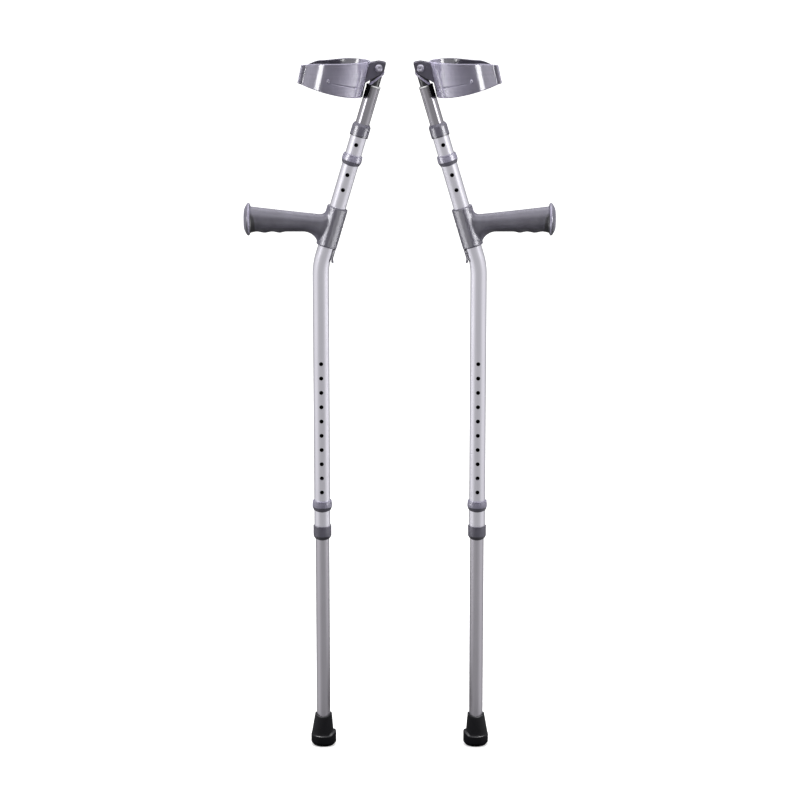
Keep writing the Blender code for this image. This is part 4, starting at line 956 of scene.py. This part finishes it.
def cuff_plug_shape():
    spigot_r, neck_r, lip_r = slide_r - TUBE_WALL - FIT, PLUG_NECK_D / 2, PLUG_LIP_D / 2
    neck = turned([(0, arm_high - PLUG_DEPTH), (spigot_r, arm_high - PLUG_DEPTH), (spigot_r, arm_high),
                   (neck_r, arm_high), (neck_r, RIVET), (0, RIVET)], 72)
    slice_off(neck, PLUG_LIP_MIDDLE, PLUG_SLANT)
    lip = turned([(0, arm_high + FIT), (lip_r, arm_high + FIT), (lip_r, RIVET), (0, RIVET)], 72)
    slice_off(lip, PLUG_CUT, PLUG_SLANT)
    slice_off(lip, PLUG_CUT - PLUG_SLANT * PLUG_LIP_THICKNESS, -PLUG_SLANT)
    soften(lip, PLUG_LIP_EDGE)
    half = TANG_WIDTH / 2
    outline = [(-half, arm_high + FIT), (half, PLUG_CUT.z)]
    outline += [(half * math.cos(math.pi * i / 32), RIVET + half * math.sin(math.pi * i / 32)) for i in range(33)]
    tang = extruded(outline, TANG_THICKNESS / 2, PLUG_EDGE)
    bore = rod(RIVET_SHANK_D / 2 + FIT, 2 * TANG_THICKNESS, Matrix.Translation((0, 0, RIVET)) @ ALONG_Y)
    return carved(to_mesh(neck, "cuff_plug"), ("UNION", lip), ("UNION", tang), ("DIFFERENCE", bore))


dark_nylon = moulded_finish("dark_nylon", DARK, 0.34, grain=2200, edge_wear_and_highlight=2.0)
lip_sizes = (PLUG_LIP_REACH, PLUG_LIP_REACH, PLUG_LIP_THICKNESS / 2 + PLUG_EDGE)
# The plug is a darker copy of the bracket's nylon, painted shade under the bracket, with a painted highlight on its
# lip.
black_nylon = moulded_finish("black_nylon", shade(DARK, PLUG_PAINTED_SHADE)[:3], 0.34, grain=2200, painted_marks=[
    (PLUG_LIP_MIDDLE, lip_sizes, -PLUG_CUT_ANGLE, PLUG_LIP_PAINTED_HIGHLIGHT)])
stand_pair("tube_plug", cuff_plug_shape(), black_nylon, "forearm", ["cuff_plug"], "dark", LEANING, 30)


# Cuff. A stiff band of glossy grey plastic, open towards the handle, deeper at its back and rolled
# outwards at both tips. A fine moulded groove runs round its lower back between two small pips.
CUFF_LEAN = math.radians(12.5)
CUFF_WIDTH = 0.098
CUFF_WALL = 0.0030
CUFF_TOP = 0.0092
CUFF_DROP = 0.0392
CUFF_SIDE_RADIUS = 0.0605
CUFF_SIDE_SWEEP = math.radians(32)
CUFF_LIP_RADIUS = 0.0065
CUFF_LIP_SWEEP = math.radians(78)
CUFF_TIP_RISE = 0.0222
CUFF_TIP_DROP = 0.0018
CUFF_TIP_FALL = (0.75, 1.0)  # shares of the band's reach between which its top edge falls
CUFF_FAR_DROP = 0.0030       # the far arm's top edge falls away towards its tip, and again at it
CUFF_FAR_FALL = (0.28, 0.75)
CUFF_FAR_END_DROP = 0.0075
CUFF_FAR_END = 0.74
CUFF_EDGE = 0.0013
CUFF_REST_GAP = 0.00045
GROOVE_AT_BACK = 0.0262      # below the rivet
GROOVE_AT_PIP = 0.0157
GROOVE_WIDTH = 0.0019
GROOVE_DEPTH = 0.0007
GROOVE_SECTION = ((-1.0, 0.0), (-0.5, 0.0), (-0.25, 0.6), (0.0, 1.0), (0.25, 0.6), (0.5, 0.0), (1.0, 0.0))
GROOVE_SHALLOW = 0.25        # share of its depth at the very back
GROOVE_DEEPENS = (0.006, 0.018)
GROOVE_FADES = (0.038, 0.046)
PIP_AHEAD = 0.0500
PIP_DROP = 0.0137
PIP_SIZE = (0.0020, 0.0015, 0.0030)  # half its width, height and length
# how much lighter the near pip is painted: a painted highlight
PIP_PAINTED_HIGHLIGHT = 2.6
CUFF_GREY = (0.28, 0.263, 0.348)
CUFF_INNER_PAINTED_SHADE = 0.35     # how much darker the band's inside is painted: painted shade
RIVET_SPOT = Matrix.Translation((RIVET_PLACE.x - POLE_X, 0, RIVET_PLACE.z))


def cuff_back(height):
    """How far ahead of the rivet the cuff's outer face is at its back, at a height above the rivet."""
    tube_front = CUFF_DROP * math.tan(LEAN) + slide_r / math.cos(LEAN)
    return tube_front + CUFF_REST_GAP - (CUFF_DROP + height) * math.tan(CUFF_LEAN)


def cuff_point(ahead, side, height):
    return (-cuff_back(height) - ahead, side, height)


def cuff_line():
    """The wall's middle seen from above, from the far tip to the near one, as (ahead, side, heading)."""
    radius = (CUFF_WIDTH - CUFF_WALL) / 2
    centre = CUFF_WIDTH / 2
    near = []
    for step in range(1, 49):
        angle = math.pi / 2 * step / 48
        near.append((centre - radius * math.cos(angle), radius * math.sin(angle), math.pi / 2 - angle))
    for step in range(1, 25):
        angle = CUFF_SIDE_SWEEP * step / 24
        near.append((centre + CUFF_SIDE_RADIUS * math.sin(angle),
                     radius - CUFF_SIDE_RADIUS * (1 - math.cos(angle)), -angle))
    ahead, side, heading = near[-1]
    turn_x = ahead - CUFF_LIP_RADIUS * math.sin(heading)
    turn_y = side + CUFF_LIP_RADIUS * math.cos(heading)
    for step in range(1, 17):
        angle = heading + CUFF_LIP_SWEEP * step / 16
        near.append((turn_x + CUFF_LIP_RADIUS * math.sin(angle), turn_y - CUFF_LIP_RADIUS * math.cos(angle), angle))
    far = [(ahead, side, math.pi - heading) for ahead, side, heading in reversed(near)]
    return far + [(centre - radius, 0.0, math.pi / 2)] + [(ahead, -side, heading) for ahead, side, heading in near]


def cuff_section(share, ahead, far):
    """The wall's section at one place: (outwards, height) points with round edges and the groove."""
    half = CUFF_WALL / 2
    low = -CUFF_DROP + CUFF_TIP_RISE * 0.5 * (share + share * share)
    high = CUFF_TOP - CUFF_TIP_DROP * smooth_step(share, *CUFF_TIP_FALL)
    if far:
        high -= CUFF_FAR_DROP * smooth_step(share, *CUFF_FAR_FALL)
        high -= CUFF_FAR_END_DROP * max((share - CUFF_FAR_END) / (1 - CUFF_FAR_END), 0.0) ** 2
    groove = -GROOVE_AT_BACK + (GROOVE_AT_BACK - GROOVE_AT_PIP) * ahead / PIP_AHEAD
    groove = max(groove, low + GROOVE_WIDTH * 2.5)
    depth = GROOVE_DEPTH * (1 - smooth_step(ahead, *GROOVE_FADES))
    depth *= GROOVE_SHALLOW + (1 - GROOVE_SHALLOW) * smooth_step(ahead, *GROOVE_DEEPENS)
    edges = rounded([(-half, low, CUFF_EDGE), (half, low, CUFF_EDGE), (half, high, CUFF_EDGE),
                     (-half, high, CUFF_EDGE)])
    outer = [(half - depth * sink, groove + GROOVE_WIDTH * at) for at, sink in GROOVE_SECTION]
    return edges[:12] + outer + edges[12:]


def cuff_shape():
    line = cuff_line()
    tip = line[-1][0]
    rings = []
    for ahead, side, heading in line:
        out_ahead = math.sin(heading) if side > 0 else -math.sin(heading)
        rings.append([cuff_point(ahead + out_ahead * out, side - math.cos(heading) * out, height)
                      for out, height in cuff_section(max(ahead, 0) / tip, ahead, side > 0)])
    pips = []
    for side in (-1, 1):
        pip = bmesh.new()
        spot = Matrix.Translation(cuff_point(PIP_AHEAD, side * CUFF_WIDTH / 2, -PIP_DROP))
        bmesh.ops.create_uvsphere(pip, u_segments=40, v_segments=24, radius=1,
                                  matrix=spot @ Matrix.Diagonal((*PIP_SIZE, 1)))
        pips.append(("UNION", pip))
    shape = carved(to_mesh(lofted(rings), "cuff"), *pips)
    # How far each point faces into the band, for the painted shade inside it.
    inside = shape.attributes.new("hollow", "FLOAT", "POINT")
    for vert in shape.vertices:
        inwards = Vector((cuff_point(CUFF_WIDTH / 2, 0, vert.co.z)[0] - vert.co.x, -vert.co.y, 0)).normalized()
        inside.data[vert.index].value = max(vert.normal.dot(inwards), 0)
    return shape


near_pip = cuff_point(PIP_AHEAD, -CUFF_WIDTH / 2, -PIP_DROP)
# The near pip is painted lighter: a painted highlight.
cuff_gloss = moulded_finish("cuff_gloss", CUFF_GREY, 0.12, grain=900, grain_depth=0.000006, streaks=0.25, edge_wear_and_highlight=1.3,
                            hollow=CUFF_INNER_PAINTED_SHADE, painted_marks=[(near_pip, PIP_SIZE, 0, PIP_PAINTED_HIGHLIGHT)])
stand_pair("arm_cuff", cuff_shape(), cuff_gloss, "cuff", ["cuff"], "cuff", RIVET_SPOT)


# Cuff bracket. Dark nylon, screwed to the cuff's back from inside: two cheeks that straddle the
# plug's tang, a humped top, and a front face that is hollowed to the cuff's curve.
BRACKET_WIDTH = 0.020
BRACKET_TOP = 0.0091
BRACKET_FRONT_STEP = 0.0026
BRACKET_BACK_STEP = 0.0020
BRACKET_BACK = 0.0098
BRACKET_HEEL = 0.0024
BRACKET_FRONT_DROP = 0.0175
BRACKET_FRONT_REACH = 0.0148
BRACKET_CLEARANCE = 0.0006
BRACKET_EDGE = 0.0007
SLIDE_GAP = 0.0004


def bracket_shape():
    over_plug = (RIVET - PLUG_CUT.z) * math.cos(PLUG_CUT_ANGLE) - BRACKET_CLEARANCE
    slant = PLUG_CUT_ANGLE - LEAN
    heel = (over_plug * math.sin(slant) + BRACKET_HEEL * math.cos(slant),
            -over_plug * math.cos(slant) + BRACKET_HEEL * math.sin(slant))
    slope = (heel[1] + BRACKET_FRONT_DROP) / (heel[0] + BRACKET_FRONT_REACH)
    front = -cuff_back(-BRACKET_FRONT_DROP) - CUFF_WALL
    front_top = BRACKET_TOP - BRACKET_FRONT_STEP
    outline = [(front, -BRACKET_FRONT_DROP + slope * (front + BRACKET_FRONT_REACH), 0), (*heel, 0.0012),
               (BRACKET_BACK, BRACKET_TOP - BRACKET_BACK_STEP, 0.0020), (0, BRACKET_TOP, 0.0090),
               (front + BRACKET_FRONT_STEP * 2, front_top, 0.0040), (front, front_top, 0)]
    body = extruded(rounded(outline, 8), BRACKET_WIDTH / 2, BRACKET_EDGE)
    relief_r = CUFF_WIDTH / 2 + FIT
    relief = lofted([[cuff_point(CUFF_WIDTH / 2 - relief_r * math.cos(math.tau * i / 192),
                                 relief_r * math.sin(math.tau * i / 192), height) for i in range(192)]
                     for height in (-2 * CUFF_DROP, 2 * CUFF_TOP)])
    half = TANG_WIDTH / 2 + SLIDE_GAP
    far = 2 * CUFF_DROP
    slot = extruded([(-half, -far), (far, -far), (far, far), (-half, far)], TANG_THICKNESS / 2 + SLIDE_GAP)
    slot.transform(Matrix.Rotation(LEAN, 4, "Y"))
    bore = rod(RIVET_SHANK_D / 2 + FIT, 2 * BRACKET_WIDTH, ALONG_Y)
    return carved(to_mesh(body, "bracket"), ("DIFFERENCE", relief), ("DIFFERENCE", slot), ("DIFFERENCE", bore))


stand_pair("cuff_bracket", bracket_shape(), dark_nylon, "cuff", ["cuff_bracket"], "dark", RIVET_SPOT, 30)


# Rivet and cuff screws. Plated steel: the rivet's domed head shows at the front, its tail is rolled
# over a washer at the back, and two cross-headed screws hold the bracket from inside the cuff.
RIVET_HEAD_D = 0.0108
RIVET_HEAD_HEIGHT = 0.0026
RIVET_DIMPLE = 0.0012
RIVET_TAIL_D = 0.0092
RIVET_TAIL_HEIGHT = 0.0014
WASHER_D = 0.0120
WASHER_THICKNESS = 0.0010
SCREW_D = 0.0038
SCREW_HEAD_D = 0.0076
SCREW_HEAD_HEIGHT = 0.0016
SCREW_BITE = 0.0040
SCREW_SEAT_GAP = 0.0001
SCREW_UPPER = 0.0015
SCREW_LOWER = -0.0100
CROSS_WIDTH = 0.0009
CROSS_SPAN = 0.0040
CROSS_DEPTH = 0.0010
CROSS_TURN = math.radians(20)
PLATED = (0.60, 0.59, 0.62)
RIVET_STEEL = (0.36, 0.345, 0.41)
RECESS_PAINTED_SHADE = 0.25          # how much darker the screw down in the sleeve's recess is painted: painted shade


def plated_finish(name, color, roughness):
    """Zinc-plated steel with faint turning rings and a cloudy bloom."""
    material, tree, shader = start_finish(name, roughness, 1.0)
    place = moulded_place(tree)
    bloom = noise(tree, place, 380, 380)
    wire(tree, shader, mottled(tree, bloom, color, 0.82, 1.08), uneven(tree, bloom, roughness, 0.8, 1.3),
         noise(tree, place, 2400, 2400, 2.0), 0.3, 0.00002)
    return material


def rivet_shape():
    side = BRACKET_WIDTH / 2 + FIT
    tail = side + WASHER_THICKNESS + FIT
    dimple = RIVET_DIMPLE - side - RIVET_HEAD_HEIGHT
    head_r, shank_r = RIVET_HEAD_D / 2, RIVET_SHANK_D / 2
    profile = [(0, dimple), (RIVET_DIMPLE, dimple)]
    profile += [(head_r * math.sin(t), -side - RIVET_HEAD_HEIGHT * math.cos(t))
                for t in (math.pi / 2 * i / 14 for i in range(4, 14))]
    profile += [(head_r, -side - 0.0002), (head_r - 0.0002, -side), (shank_r, -side), (shank_r, tail)]
    profile += rounded([(RIVET_TAIL_D / 2, tail, 0.0004), (RIVET_TAIL_D * 0.42, tail + RIVET_TAIL_HEIGHT, 0.0006),
                        (RIVET_TAIL_D * 0.16, tail + RIVET_TAIL_HEIGHT * 0.5, 0.0006),
                        (0, tail + RIVET_TAIL_HEIGHT * 0.5, 0), (0, 0, 0)])[:-1]
    rivet = turned(profile, 64)
    rivet.transform(Matrix.Rotation(-math.pi / 2, 4, "X"))
    return to_mesh(rivet, "rivet")


def washer_shape():
    side = BRACKET_WIDTH / 2 + FIT
    bore = RIVET_SHANK_D / 2 + FIT
    washer = turned(rounded([(bore, side, 0.0001), (WASHER_D / 2, side, 0.0001),
                             (WASHER_D / 2, side + WASHER_THICKNESS, 0.0003),
                             (bore, side + WASHER_THICKNESS, 0.0002)], 3), 64)
    washer.transform(Matrix.Rotation(-math.pi / 2, 4, "X"))
    return to_mesh(washer, "washer")


def screw_shape(head_r, head_height, shank_r, tip, under=0.0):
    """A pan-headed screw on Z, head up from its seat, with a cross recess."""
    top = under + head_height
    profile = rounded([(0, tip, 0), (shank_r * 0.4, tip, 0), (shank_r, tip + shank_r, 0), (shank_r, under, 0),
                       (head_r, under, 0.0002), (head_r, under + head_height * 0.45, 0.0008),
                       (head_r * 0.55, top, 0.0012), (0, top, 0)])
    cross = [("DIFFERENCE", block((CROSS_SPAN, CROSS_WIDTH, CROSS_DEPTH * 2),
                                  Matrix.Rotation(turn, 4, "Z") @ Matrix.Translation((0, 0, top))))
             for turn in (CROSS_TURN, CROSS_TURN + math.pi / 2)]
    return carved(to_mesh(turned(profile, 48), "screw"), *cross)


screws_tree, given = geometry_tree("screw_line", screw="Object", screws=2, first_place=Vector((0, 0, 0)),
                                   step=Vector((0, 0, 0.01)), heading=Vector((0, 0, 0)))
spots = node(screws_tree, "GeometryNodeMeshLine", {"Count": given["Screws"], "Offset": given["Step"],
                                                   "Start Location": given["First Place"]})
screw_geometry = node(screws_tree, "GeometryNodeObjectInfo", {"Object": given["Screw"]})
heading = node(screws_tree, "FunctionNodeEulerToRotation", {0: given["Heading"]})
screws = node(screws_tree, "GeometryNodeInstanceOnPoints", {
    "Points": spots.outputs[0], "Instance": screw_geometry.outputs["Geometry"], "Rotation": heading.outputs[0]})
end_tree(screws_tree, screws, given)

plated_steel = plated_finish("plated_steel", PLATED, 0.28)
rivet_steel = plated_finish("rivet_steel", RIVET_STEEL, 0.36)
stand_pair("rivet", rivet_shape(), rivet_steel, "cuff", ["cuff_rivet"], "steel", RIVET_SPOT)
stand_pair("rivet_washer", washer_shape(), plated_steel, "cuff", ["cuff_rivet_washer"], "steel", RIVET_SPOT)

seat = CUFF_WALL * math.cos(CUFF_LEAN) + FIT + SCREW_SEAT_GAP
pattern = to_object(screw_shape(SCREW_HEAD_D / 2, SCREW_HEAD_HEIGHT, SCREW_D / 2, -SCREW_BITE - seat))
inward = Matrix.Rotation(-math.pi / 2 + CUFF_LEAN, 4, "Y")
first, second = (Vector(cuff_point(0, 0, height)) + inward.to_3x3() @ Vector((0, 0, seat))
                 for height in (SCREW_UPPER, SCREW_LOWER))
holder = to_object(bpy.data.meshes.new("cuff_screws"))
add_tree(holder, screws_tree, screw=pattern, screws=2, first_place=first, step=second - first,
         heading=Vector(inward.to_euler()), finish=plated_steel)
stand_pair("cuff_screws", settle(holder), plated_steel, "cuff", ["cuff_screw_upper", "cuff_screw_lower"], "steel",
           RIVET_SPOT, 30)
bpy.data.objects.remove(pattern)


# Handle. Grey plastic moulded in one piece round an aluminium core: the grip with finger bumps
# underneath and a round flange at its end, the sleeve on the bent tube, and a tongue down its back.
SLEEVE_START = 0.0265
SLEEVE_LENGTH = 0.0555
SLEEVE_D = 0.0284
SLEEVE_EDGE = 0.0012
TONGUE_THICKNESS = 0.0024
TONGUE_SPREAD = math.radians(48)
TONGUE_BEND_SHARE = 0.26
TONGUE_LIFT = 0.0028         # how far its end springs off the tube
TONGUE_END_THICKNESS = 0.0021
TONGUE_LIFT_FADES = 1.3      # power with which it nears the tube again
GRIP_LENGTH = 0.1008
GRIP_INTO_SLEEVE = 0.011
GRIP_END_HEIGHT = 0.0622
GRIP_SLOPE = math.radians(2.6)
GRIP_TOP_END = 0.0175
GRIP_TOP_ROOT = 0.0063
GRIP_BOTTOM = 0.0167
GRIP_SAG = 0.0002            # of the top, between its ends
GRIP_HALF_WIDTH_END = 0.0145
GRIP_HALF_WIDTH_ROOT = 0.0125
GRIP_SQUARENESS = 2.35
# The fillets where the grip meets the sleeve: radius, and as shares of it how far before the root
# they start and how far they run.
GRIP_TOP_FILLET = (0.011, 0.5, 0.98)
GRIP_BOTTOM_FILLET = (0.020, 1.35, math.sin(math.radians(78)))
GRIP_NARROWS = 1.6           # how much sooner than its end the grip has its width at the root
FINGER_PITCH = 0.0205
FINGER_DEPTH = 0.0016
FINGER_FIRST = 0.0014
FINGER_SPAN = 0.056
FLANGE_D = 0.0449
FLANGE_RIM = 0.0036
FLANGE_DOME = 0.0042
CORE_D = 0.016
CORE_POCKET = 0.02           # how deep it is cut, from a little outside the flange's face
CORE_POCKET_OUT = 0.001
MOULD_CELL = 0.00065         # of the skin that the moulded shapes are joined into
JOINT_BLEND = 0.0075         # how far the grip's root is smoothed into the sleeve
JOINT_SINK = 0.0012          # how far inside the sleeve's face, and outside it near the ends
JOINT_CLEAR = 0.0008
JOINT_PASSES = 26
SCREW_RECESS_D = 0.0092
SCREW_SHOULDER = 0.003       # of the recess, round the screw's hole
SCREW_SEAT_THICKNESS = 0.0011
SCREW_ABOVE_SLEEVE_START = 0.0320
# how much darker or lighter the moulding is painted: painted shade under the grip and beside the flange, a painted
# highlight on its rim
UNDER_GRIP_PAINTED_SHADE = 0.6
FLANGE_CONTACT_PAINTED_SHADE = 0.15
FLANGE_RIM_PAINTED_HIGHLIGHT = 3.4
GRIP_GREY = (0.13, 0.123, 0.162)

GRIP_END_Z = BEND_Z + GRIP_END_HEIGHT
SLEEVE_END = SLEEVE_START + SLEEVE_LENGTH
sleeve_r = SLEEVE_D / 2
grip_root = (GRIP_END_Z - BEND_Z) * math.tan(LEAN) - sleeve_r / math.cos(LEAN)
flange_x = grip_root - GRIP_LENGTH
flange_face = -FLANGE_RIM / 2 - FLANGE_DOME
screw_seat = tube_r + FIT + SCREW_SEAT_THICKNESS
FLANGE_SPOT = Matrix.Translation((flange_x, 0, GRIP_END_Z))
CORE_SPOT = FLANGE_SPOT @ Matrix.Rotation(math.pi / 2 + GRIP_SLOPE, 4, "Y")
SCREW_SPOT = (LEANING @ Matrix.Translation((0, 0, SLEEVE_START + SCREW_ABOVE_SLEEVE_START))
              @ Matrix.Rotation(math.pi / 2, 4, "Y"))


def flared(x, radius, starts, runs):
    """How far a fillet has turned away from the grip at one station."""
    reach = min(x - (grip_root - radius * starts), radius * runs)
    return radius - math.sqrt(radius ** 2 - reach ** 2) if reach > 0 else 0.0


def grip_ring(x, sides=72):
    """The grip's outline at one station: a rounded square that is taller at the flange."""
    along = x - flange_x
    share = along / GRIP_LENGTH
    axis = GRIP_END_Z - along * math.tan(GRIP_SLOPE)
    top = GRIP_END_Z + GRIP_TOP_END + (GRIP_TOP_ROOT - GRIP_TOP_END) * share
    top -= GRIP_SAG * math.sin(math.pi * min(max(share, 0.0), 1.0))
    top += flared(x, *GRIP_TOP_FILLET)
    wave = 0.5 + 0.5 * math.cos(math.tau * (along - FINGER_FIRST) / FINGER_PITCH)
    fade = 1 - smooth_step(along, FINGER_SPAN - FINGER_PITCH * 0.7, FINGER_SPAN)
    bottom = GRIP_END_Z - GRIP_BOTTOM - FINGER_DEPTH * wave * fade - flared(x, *GRIP_BOTTOM_FILLET)
    width = GRIP_HALF_WIDTH_END + (GRIP_HALF_WIDTH_ROOT - GRIP_HALF_WIDTH_END) * min(share * GRIP_NARROWS, 1.0)
    ring = []
    for i in range(sides):
        angle = math.tau * i / sides
        power = 2 / GRIP_SQUARENESS
        side = width * math.copysign(abs(math.cos(angle)) ** power, math.cos(angle))
        rise = math.copysign(abs(math.sin(angle)) ** power, math.sin(angle))
        ring.append((x, side, axis + rise * (top - axis if rise > 0 else axis - bottom)))
    return ring


def tongue_shape():
    """A strip along the tube's back, from part-way down the bend up under the sleeve."""
    tangent = BEND_RADIUS * math.tan(LEAN / 2)
    stations = []
    for step in range(17):
        lean = LEAN * (1 - TONGUE_BEND_SHARE + TONGUE_BEND_SHARE * step / 16)
        stations.append((BEND_RADIUS * (1 - math.cos(lean)), BEND_Z - tangent + BEND_RADIUS * math.sin(lean), lean,
                         (1 - step / 16) ** TONGUE_LIFT_FADES))
    upper = LEANING @ Vector((0, 0, SLEEVE_START + SLEEVE_LENGTH / 4))
    stations.append((upper.x, upper.z, LEAN, 0.0))
    rings = []
    for x, z, lean, free in stations:
        thickness = TONGUE_THICKNESS + (TONGUE_END_THICKNESS - TONGUE_THICKNESS) * free
        lift = TONGUE_LIFT * free
        outer = tube_r + FIT + thickness + lift
        arc = [(outer, TONGUE_SPREAD / 2 * k / 8) for k in range(-8, 9)]
        arc += [(outer - thickness - max(TUBE_WALL - lift, 0), TONGUE_SPREAD / 2 * k / 4) for k in range(4, -5, -1)]
        rings.append([(x + r * math.cos(a) * math.cos(lean), r * math.sin(a), z - r * math.cos(a) * math.sin(lean))
                      for r, a in arc])
    return lofted(rings)


def smooth_joint(mesh):
    """Ease the line where the grip runs into the sleeve, as the mould does."""
    bm = bmesh.new()
    bm.from_mesh(mesh)
    to_sleeve = LEANING.inverted()
    near = []
    for vertex in bm.verts:
        spot = to_sleeve @ vertex.co
        off = math.hypot(spot.x, spot.y) - sleeve_r
        inside = SLEEVE_START + SLEEVE_EDGE * 2.5 < spot.z < SLEEVE_END - SLEEVE_EDGE * 2.5
        if spot.x < 0 and -JOINT_SINK < off < JOINT_BLEND and (inside or off > JOINT_CLEAR):
            near.append(vertex)
    for _ in range(JOINT_PASSES):
        bmesh.ops.smooth_vert(bm, verts=near, factor=0.5, use_axis_x=True, use_axis_y=True, use_axis_z=True)
    bm.to_mesh(mesh)
    bm.free()


def handle_shape():
    length = GRIP_LENGTH + GRIP_INTO_SLEEVE
    grip = lofted([grip_ring(flange_x + length * i / 150) for i in range(151)])
    sleeve = turned(rounded([(0, SLEEVE_START, 0), (sleeve_r, SLEEVE_START, SLEEVE_EDGE),
                             (sleeve_r, SLEEVE_END, SLEEVE_EDGE), (0, SLEEVE_END, 0)]))
    sleeve.transform(LEANING)
    r, rim = FLANGE_D / 2, FLANGE_RIM / 2
    flange = turned(rounded([(0, flange_face, 0), (r * 0.62, flange_face, 0.020), (r * 0.94, -rim, 0.006),
                             (r, 0, 0.0016), (r * 0.96, rim, 0.0016), (r * 0.80, FLANGE_RIM * 0.8, 0.004),
                             (0, FLANGE_RIM * 0.8, 0)], 8))
    flange.transform(FLANGE_SPOT @ Matrix.Rotation(math.pi / 2, 4, "Y"))
    whole = bmesh.new()
    for part in (grip, sleeve, flange, tongue_shape()):
        piece = to_mesh(part, "part")
        whole.from_mesh(piece)
        bpy.data.meshes.remove(piece)
    mesh = bpy.data.meshes.new("handle")
    whole.to_mesh(mesh)
    whole.free()
    handle = to_object(mesh)
    skin = handle.modifiers.new("skin", "REMESH")
    skin.mode = "VOXEL"
    skin.voxel_size = MOULD_CELL
    ease = handle.modifiers.new("ease", "SMOOTH")
    ease.factor, ease.iterations = 0.5, 5
    mesh = settle(handle)
    smooth_joint(mesh)
    return mesh


def cut_handle(mesh):
    """Cut the bore for the bent tube, the core's pocket and the screw's recess into the moulding."""
    bore = bmesh.new()
    bore.from_mesh(bent_sweep("bore", tube_r + FIT, grip_plastic))
    bmesh.ops.holes_fill(bore, edges=[edge for edge in bore.edges if edge.is_boundary], sides=0)
    middle = Matrix.Translation((0, 0, flange_face + CORE_POCKET / 2 - CORE_POCKET_OUT))
    pocket = rod(CORE_D / 2 + FIT, CORE_POCKET, CORE_SPOT @ middle, 72)
    wide, narrow, deep = SCREW_RECESS_D / 2, SCREW_RECESS_D / 2 - SCREW_SHOULDER, 2 * sleeve_r
    recess = turned([(0, 0), (narrow, 0), (narrow, screw_seat), (wide, screw_seat), (wide, deep), (0, deep)], 48)
    recess.transform(SCREW_SPOT)
    return carved(mesh, ("DIFFERENCE", bore), ("DIFFERENCE", pocket), ("DIFFERENCE", recess))


# Where the moulding is painted darker or lighter: painted shade under the grip and beside the flange, and a painted
# highlight on the flange's rim.
under_grip_painted_shade = (flange_x + GRIP_LENGTH * 0.45, 0, GRIP_END_Z - GRIP_BOTTOM), (0.055, 1, 0.008), 0, UNDER_GRIP_PAINTED_SHADE
flange_contact_painted_shade = (flange_x + 0.0035, 0, GRIP_END_Z - 0.010), (0.0065, 1, 0.021), 0, FLANGE_CONTACT_PAINTED_SHADE
rim_painted_highlight = (flange_x + 0.0010, 0, GRIP_END_Z), (0.0018, 1, FLANGE_D / 2 + 0.001), 0, FLANGE_RIM_PAINTED_HIGHLIGHT
grip_plastic = moulded_finish("grip_plastic", GRIP_GREY, 0.32, grain=1900, grain_depth=0.000012, seam=7.0,
                              painted_marks=[under_grip_painted_shade, flange_contact_painted_shade, rim_painted_highlight])
stand_pair("grip_and_sleeve", cut_handle(handle_shape()), grip_plastic, "frame", ["handle"], "grip", crease=50)


# Handle's end plug and screw. A dark nylon plug closes the flange's middle, and a plated pan-headed
# screw in a round recess at the sleeve's back holds the moulding on the tube.
END_PLUG_SINK = 0.0003       # of its head under the flange's face, and of the dimple's floor
END_PLUG_DIMPLE_SINK = 0.0007
END_PLUG_HEAD = 0.0030
END_PLUG_LENGTH = 0.010
END_PLUG_SHOULDER = 0.002
END_PLUG_DIMPLE_D = 0.0030
HANDLE_SCREW_D = 0.0036
HANDLE_SCREW_HEAD_D = 0.0070
HANDLE_SCREW_HEAD_HEIGHT = 0.0015
HANDLE_SCREW_BITE = 0.0024   # past the bent tube's outer face


def end_plug_shape():
    head_r, dimple_r = CORE_D / 2, END_PLUG_DIMPLE_D / 2
    face, floor = flange_face + END_PLUG_SINK, flange_face + END_PLUG_DIMPLE_SINK
    under, end = flange_face + END_PLUG_HEAD, flange_face + END_PLUG_LENGTH
    shank_r = head_r - END_PLUG_SHOULDER
    profile = rounded([(0, floor, 0), (dimple_r, floor, 0.0003), (dimple_r, face, 0.0003), (head_r, face, 0.0010),
                       (head_r, under, 0), (shank_r, under, 0), (shank_r, end, 0), (0, end, 0)])
    return to_mesh(turned(profile, 72), "end_plug")


# The sleeve's screw is a darker copy of the plated steel: painted shade in its recess.
recessed_steel = plated_finish("recessed_steel", shade(PLATED, RECESS_PAINTED_SHADE)[:3], 0.36)
stand_pair("grip_end_plug", end_plug_shape(), dark_nylon, "frame", ["handle_end_plug"], "dark", CORE_SPOT)
stand_pair("sleeve_screw", screw_shape(HANDLE_SCREW_HEAD_D / 2, HANDLE_SCREW_HEAD_HEIGHT, HANDLE_SCREW_D / 2,
                                       tube_r - HANDLE_SCREW_BITE, screw_seat + FIT),
           recessed_steel, "frame", ["handle_screw"], "steel", SCREW_SPOT, 30)


# Hidden pieces. The guide bushes on the sliding tubes' inner ends, the handle's core and the
# washer in each ferrule keep the shapes that they have in the frame, and only take their finishes.
def hidden_finish(name, color, roughness, metallic):
    material, tree, shader = start_finish(name, roughness, metallic)
    place = node(tree, "ShaderNodeTexCoord").outputs["Object"]
    clouds = noise(tree, place, 300, 120, 3.0)
    tree.links.new(tint(tree, clouds, shade(color, 0.85), shade(color, 1.15)), shader.inputs["Base Color"])
    return material


hidden = {
    "leg_tube_bush": hidden_finish("bush_nylon", GREY, 0.42, 0.0),
    "handle_core": hidden_finish("core_aluminium", ANODISED, 0.35, 1.0),
    "ferrule_washer": hidden_finish("washer_steel", PLATED, 0.32, 1.0),
}
hidden["forearm_tube_bush"] = hidden["leg_tube_bush"]
for side in ("left", "right"):
    for name, material in hidden.items():
        for slot in frame["nodes"][f"{side}_{name}"].material_slots:
            slot.material = material


# The hole punch goes, and the view transform is set to Standard.
bpy.data.objects.remove(punch)
bpy.context.scene.view_settings.view_transform = "Standard"
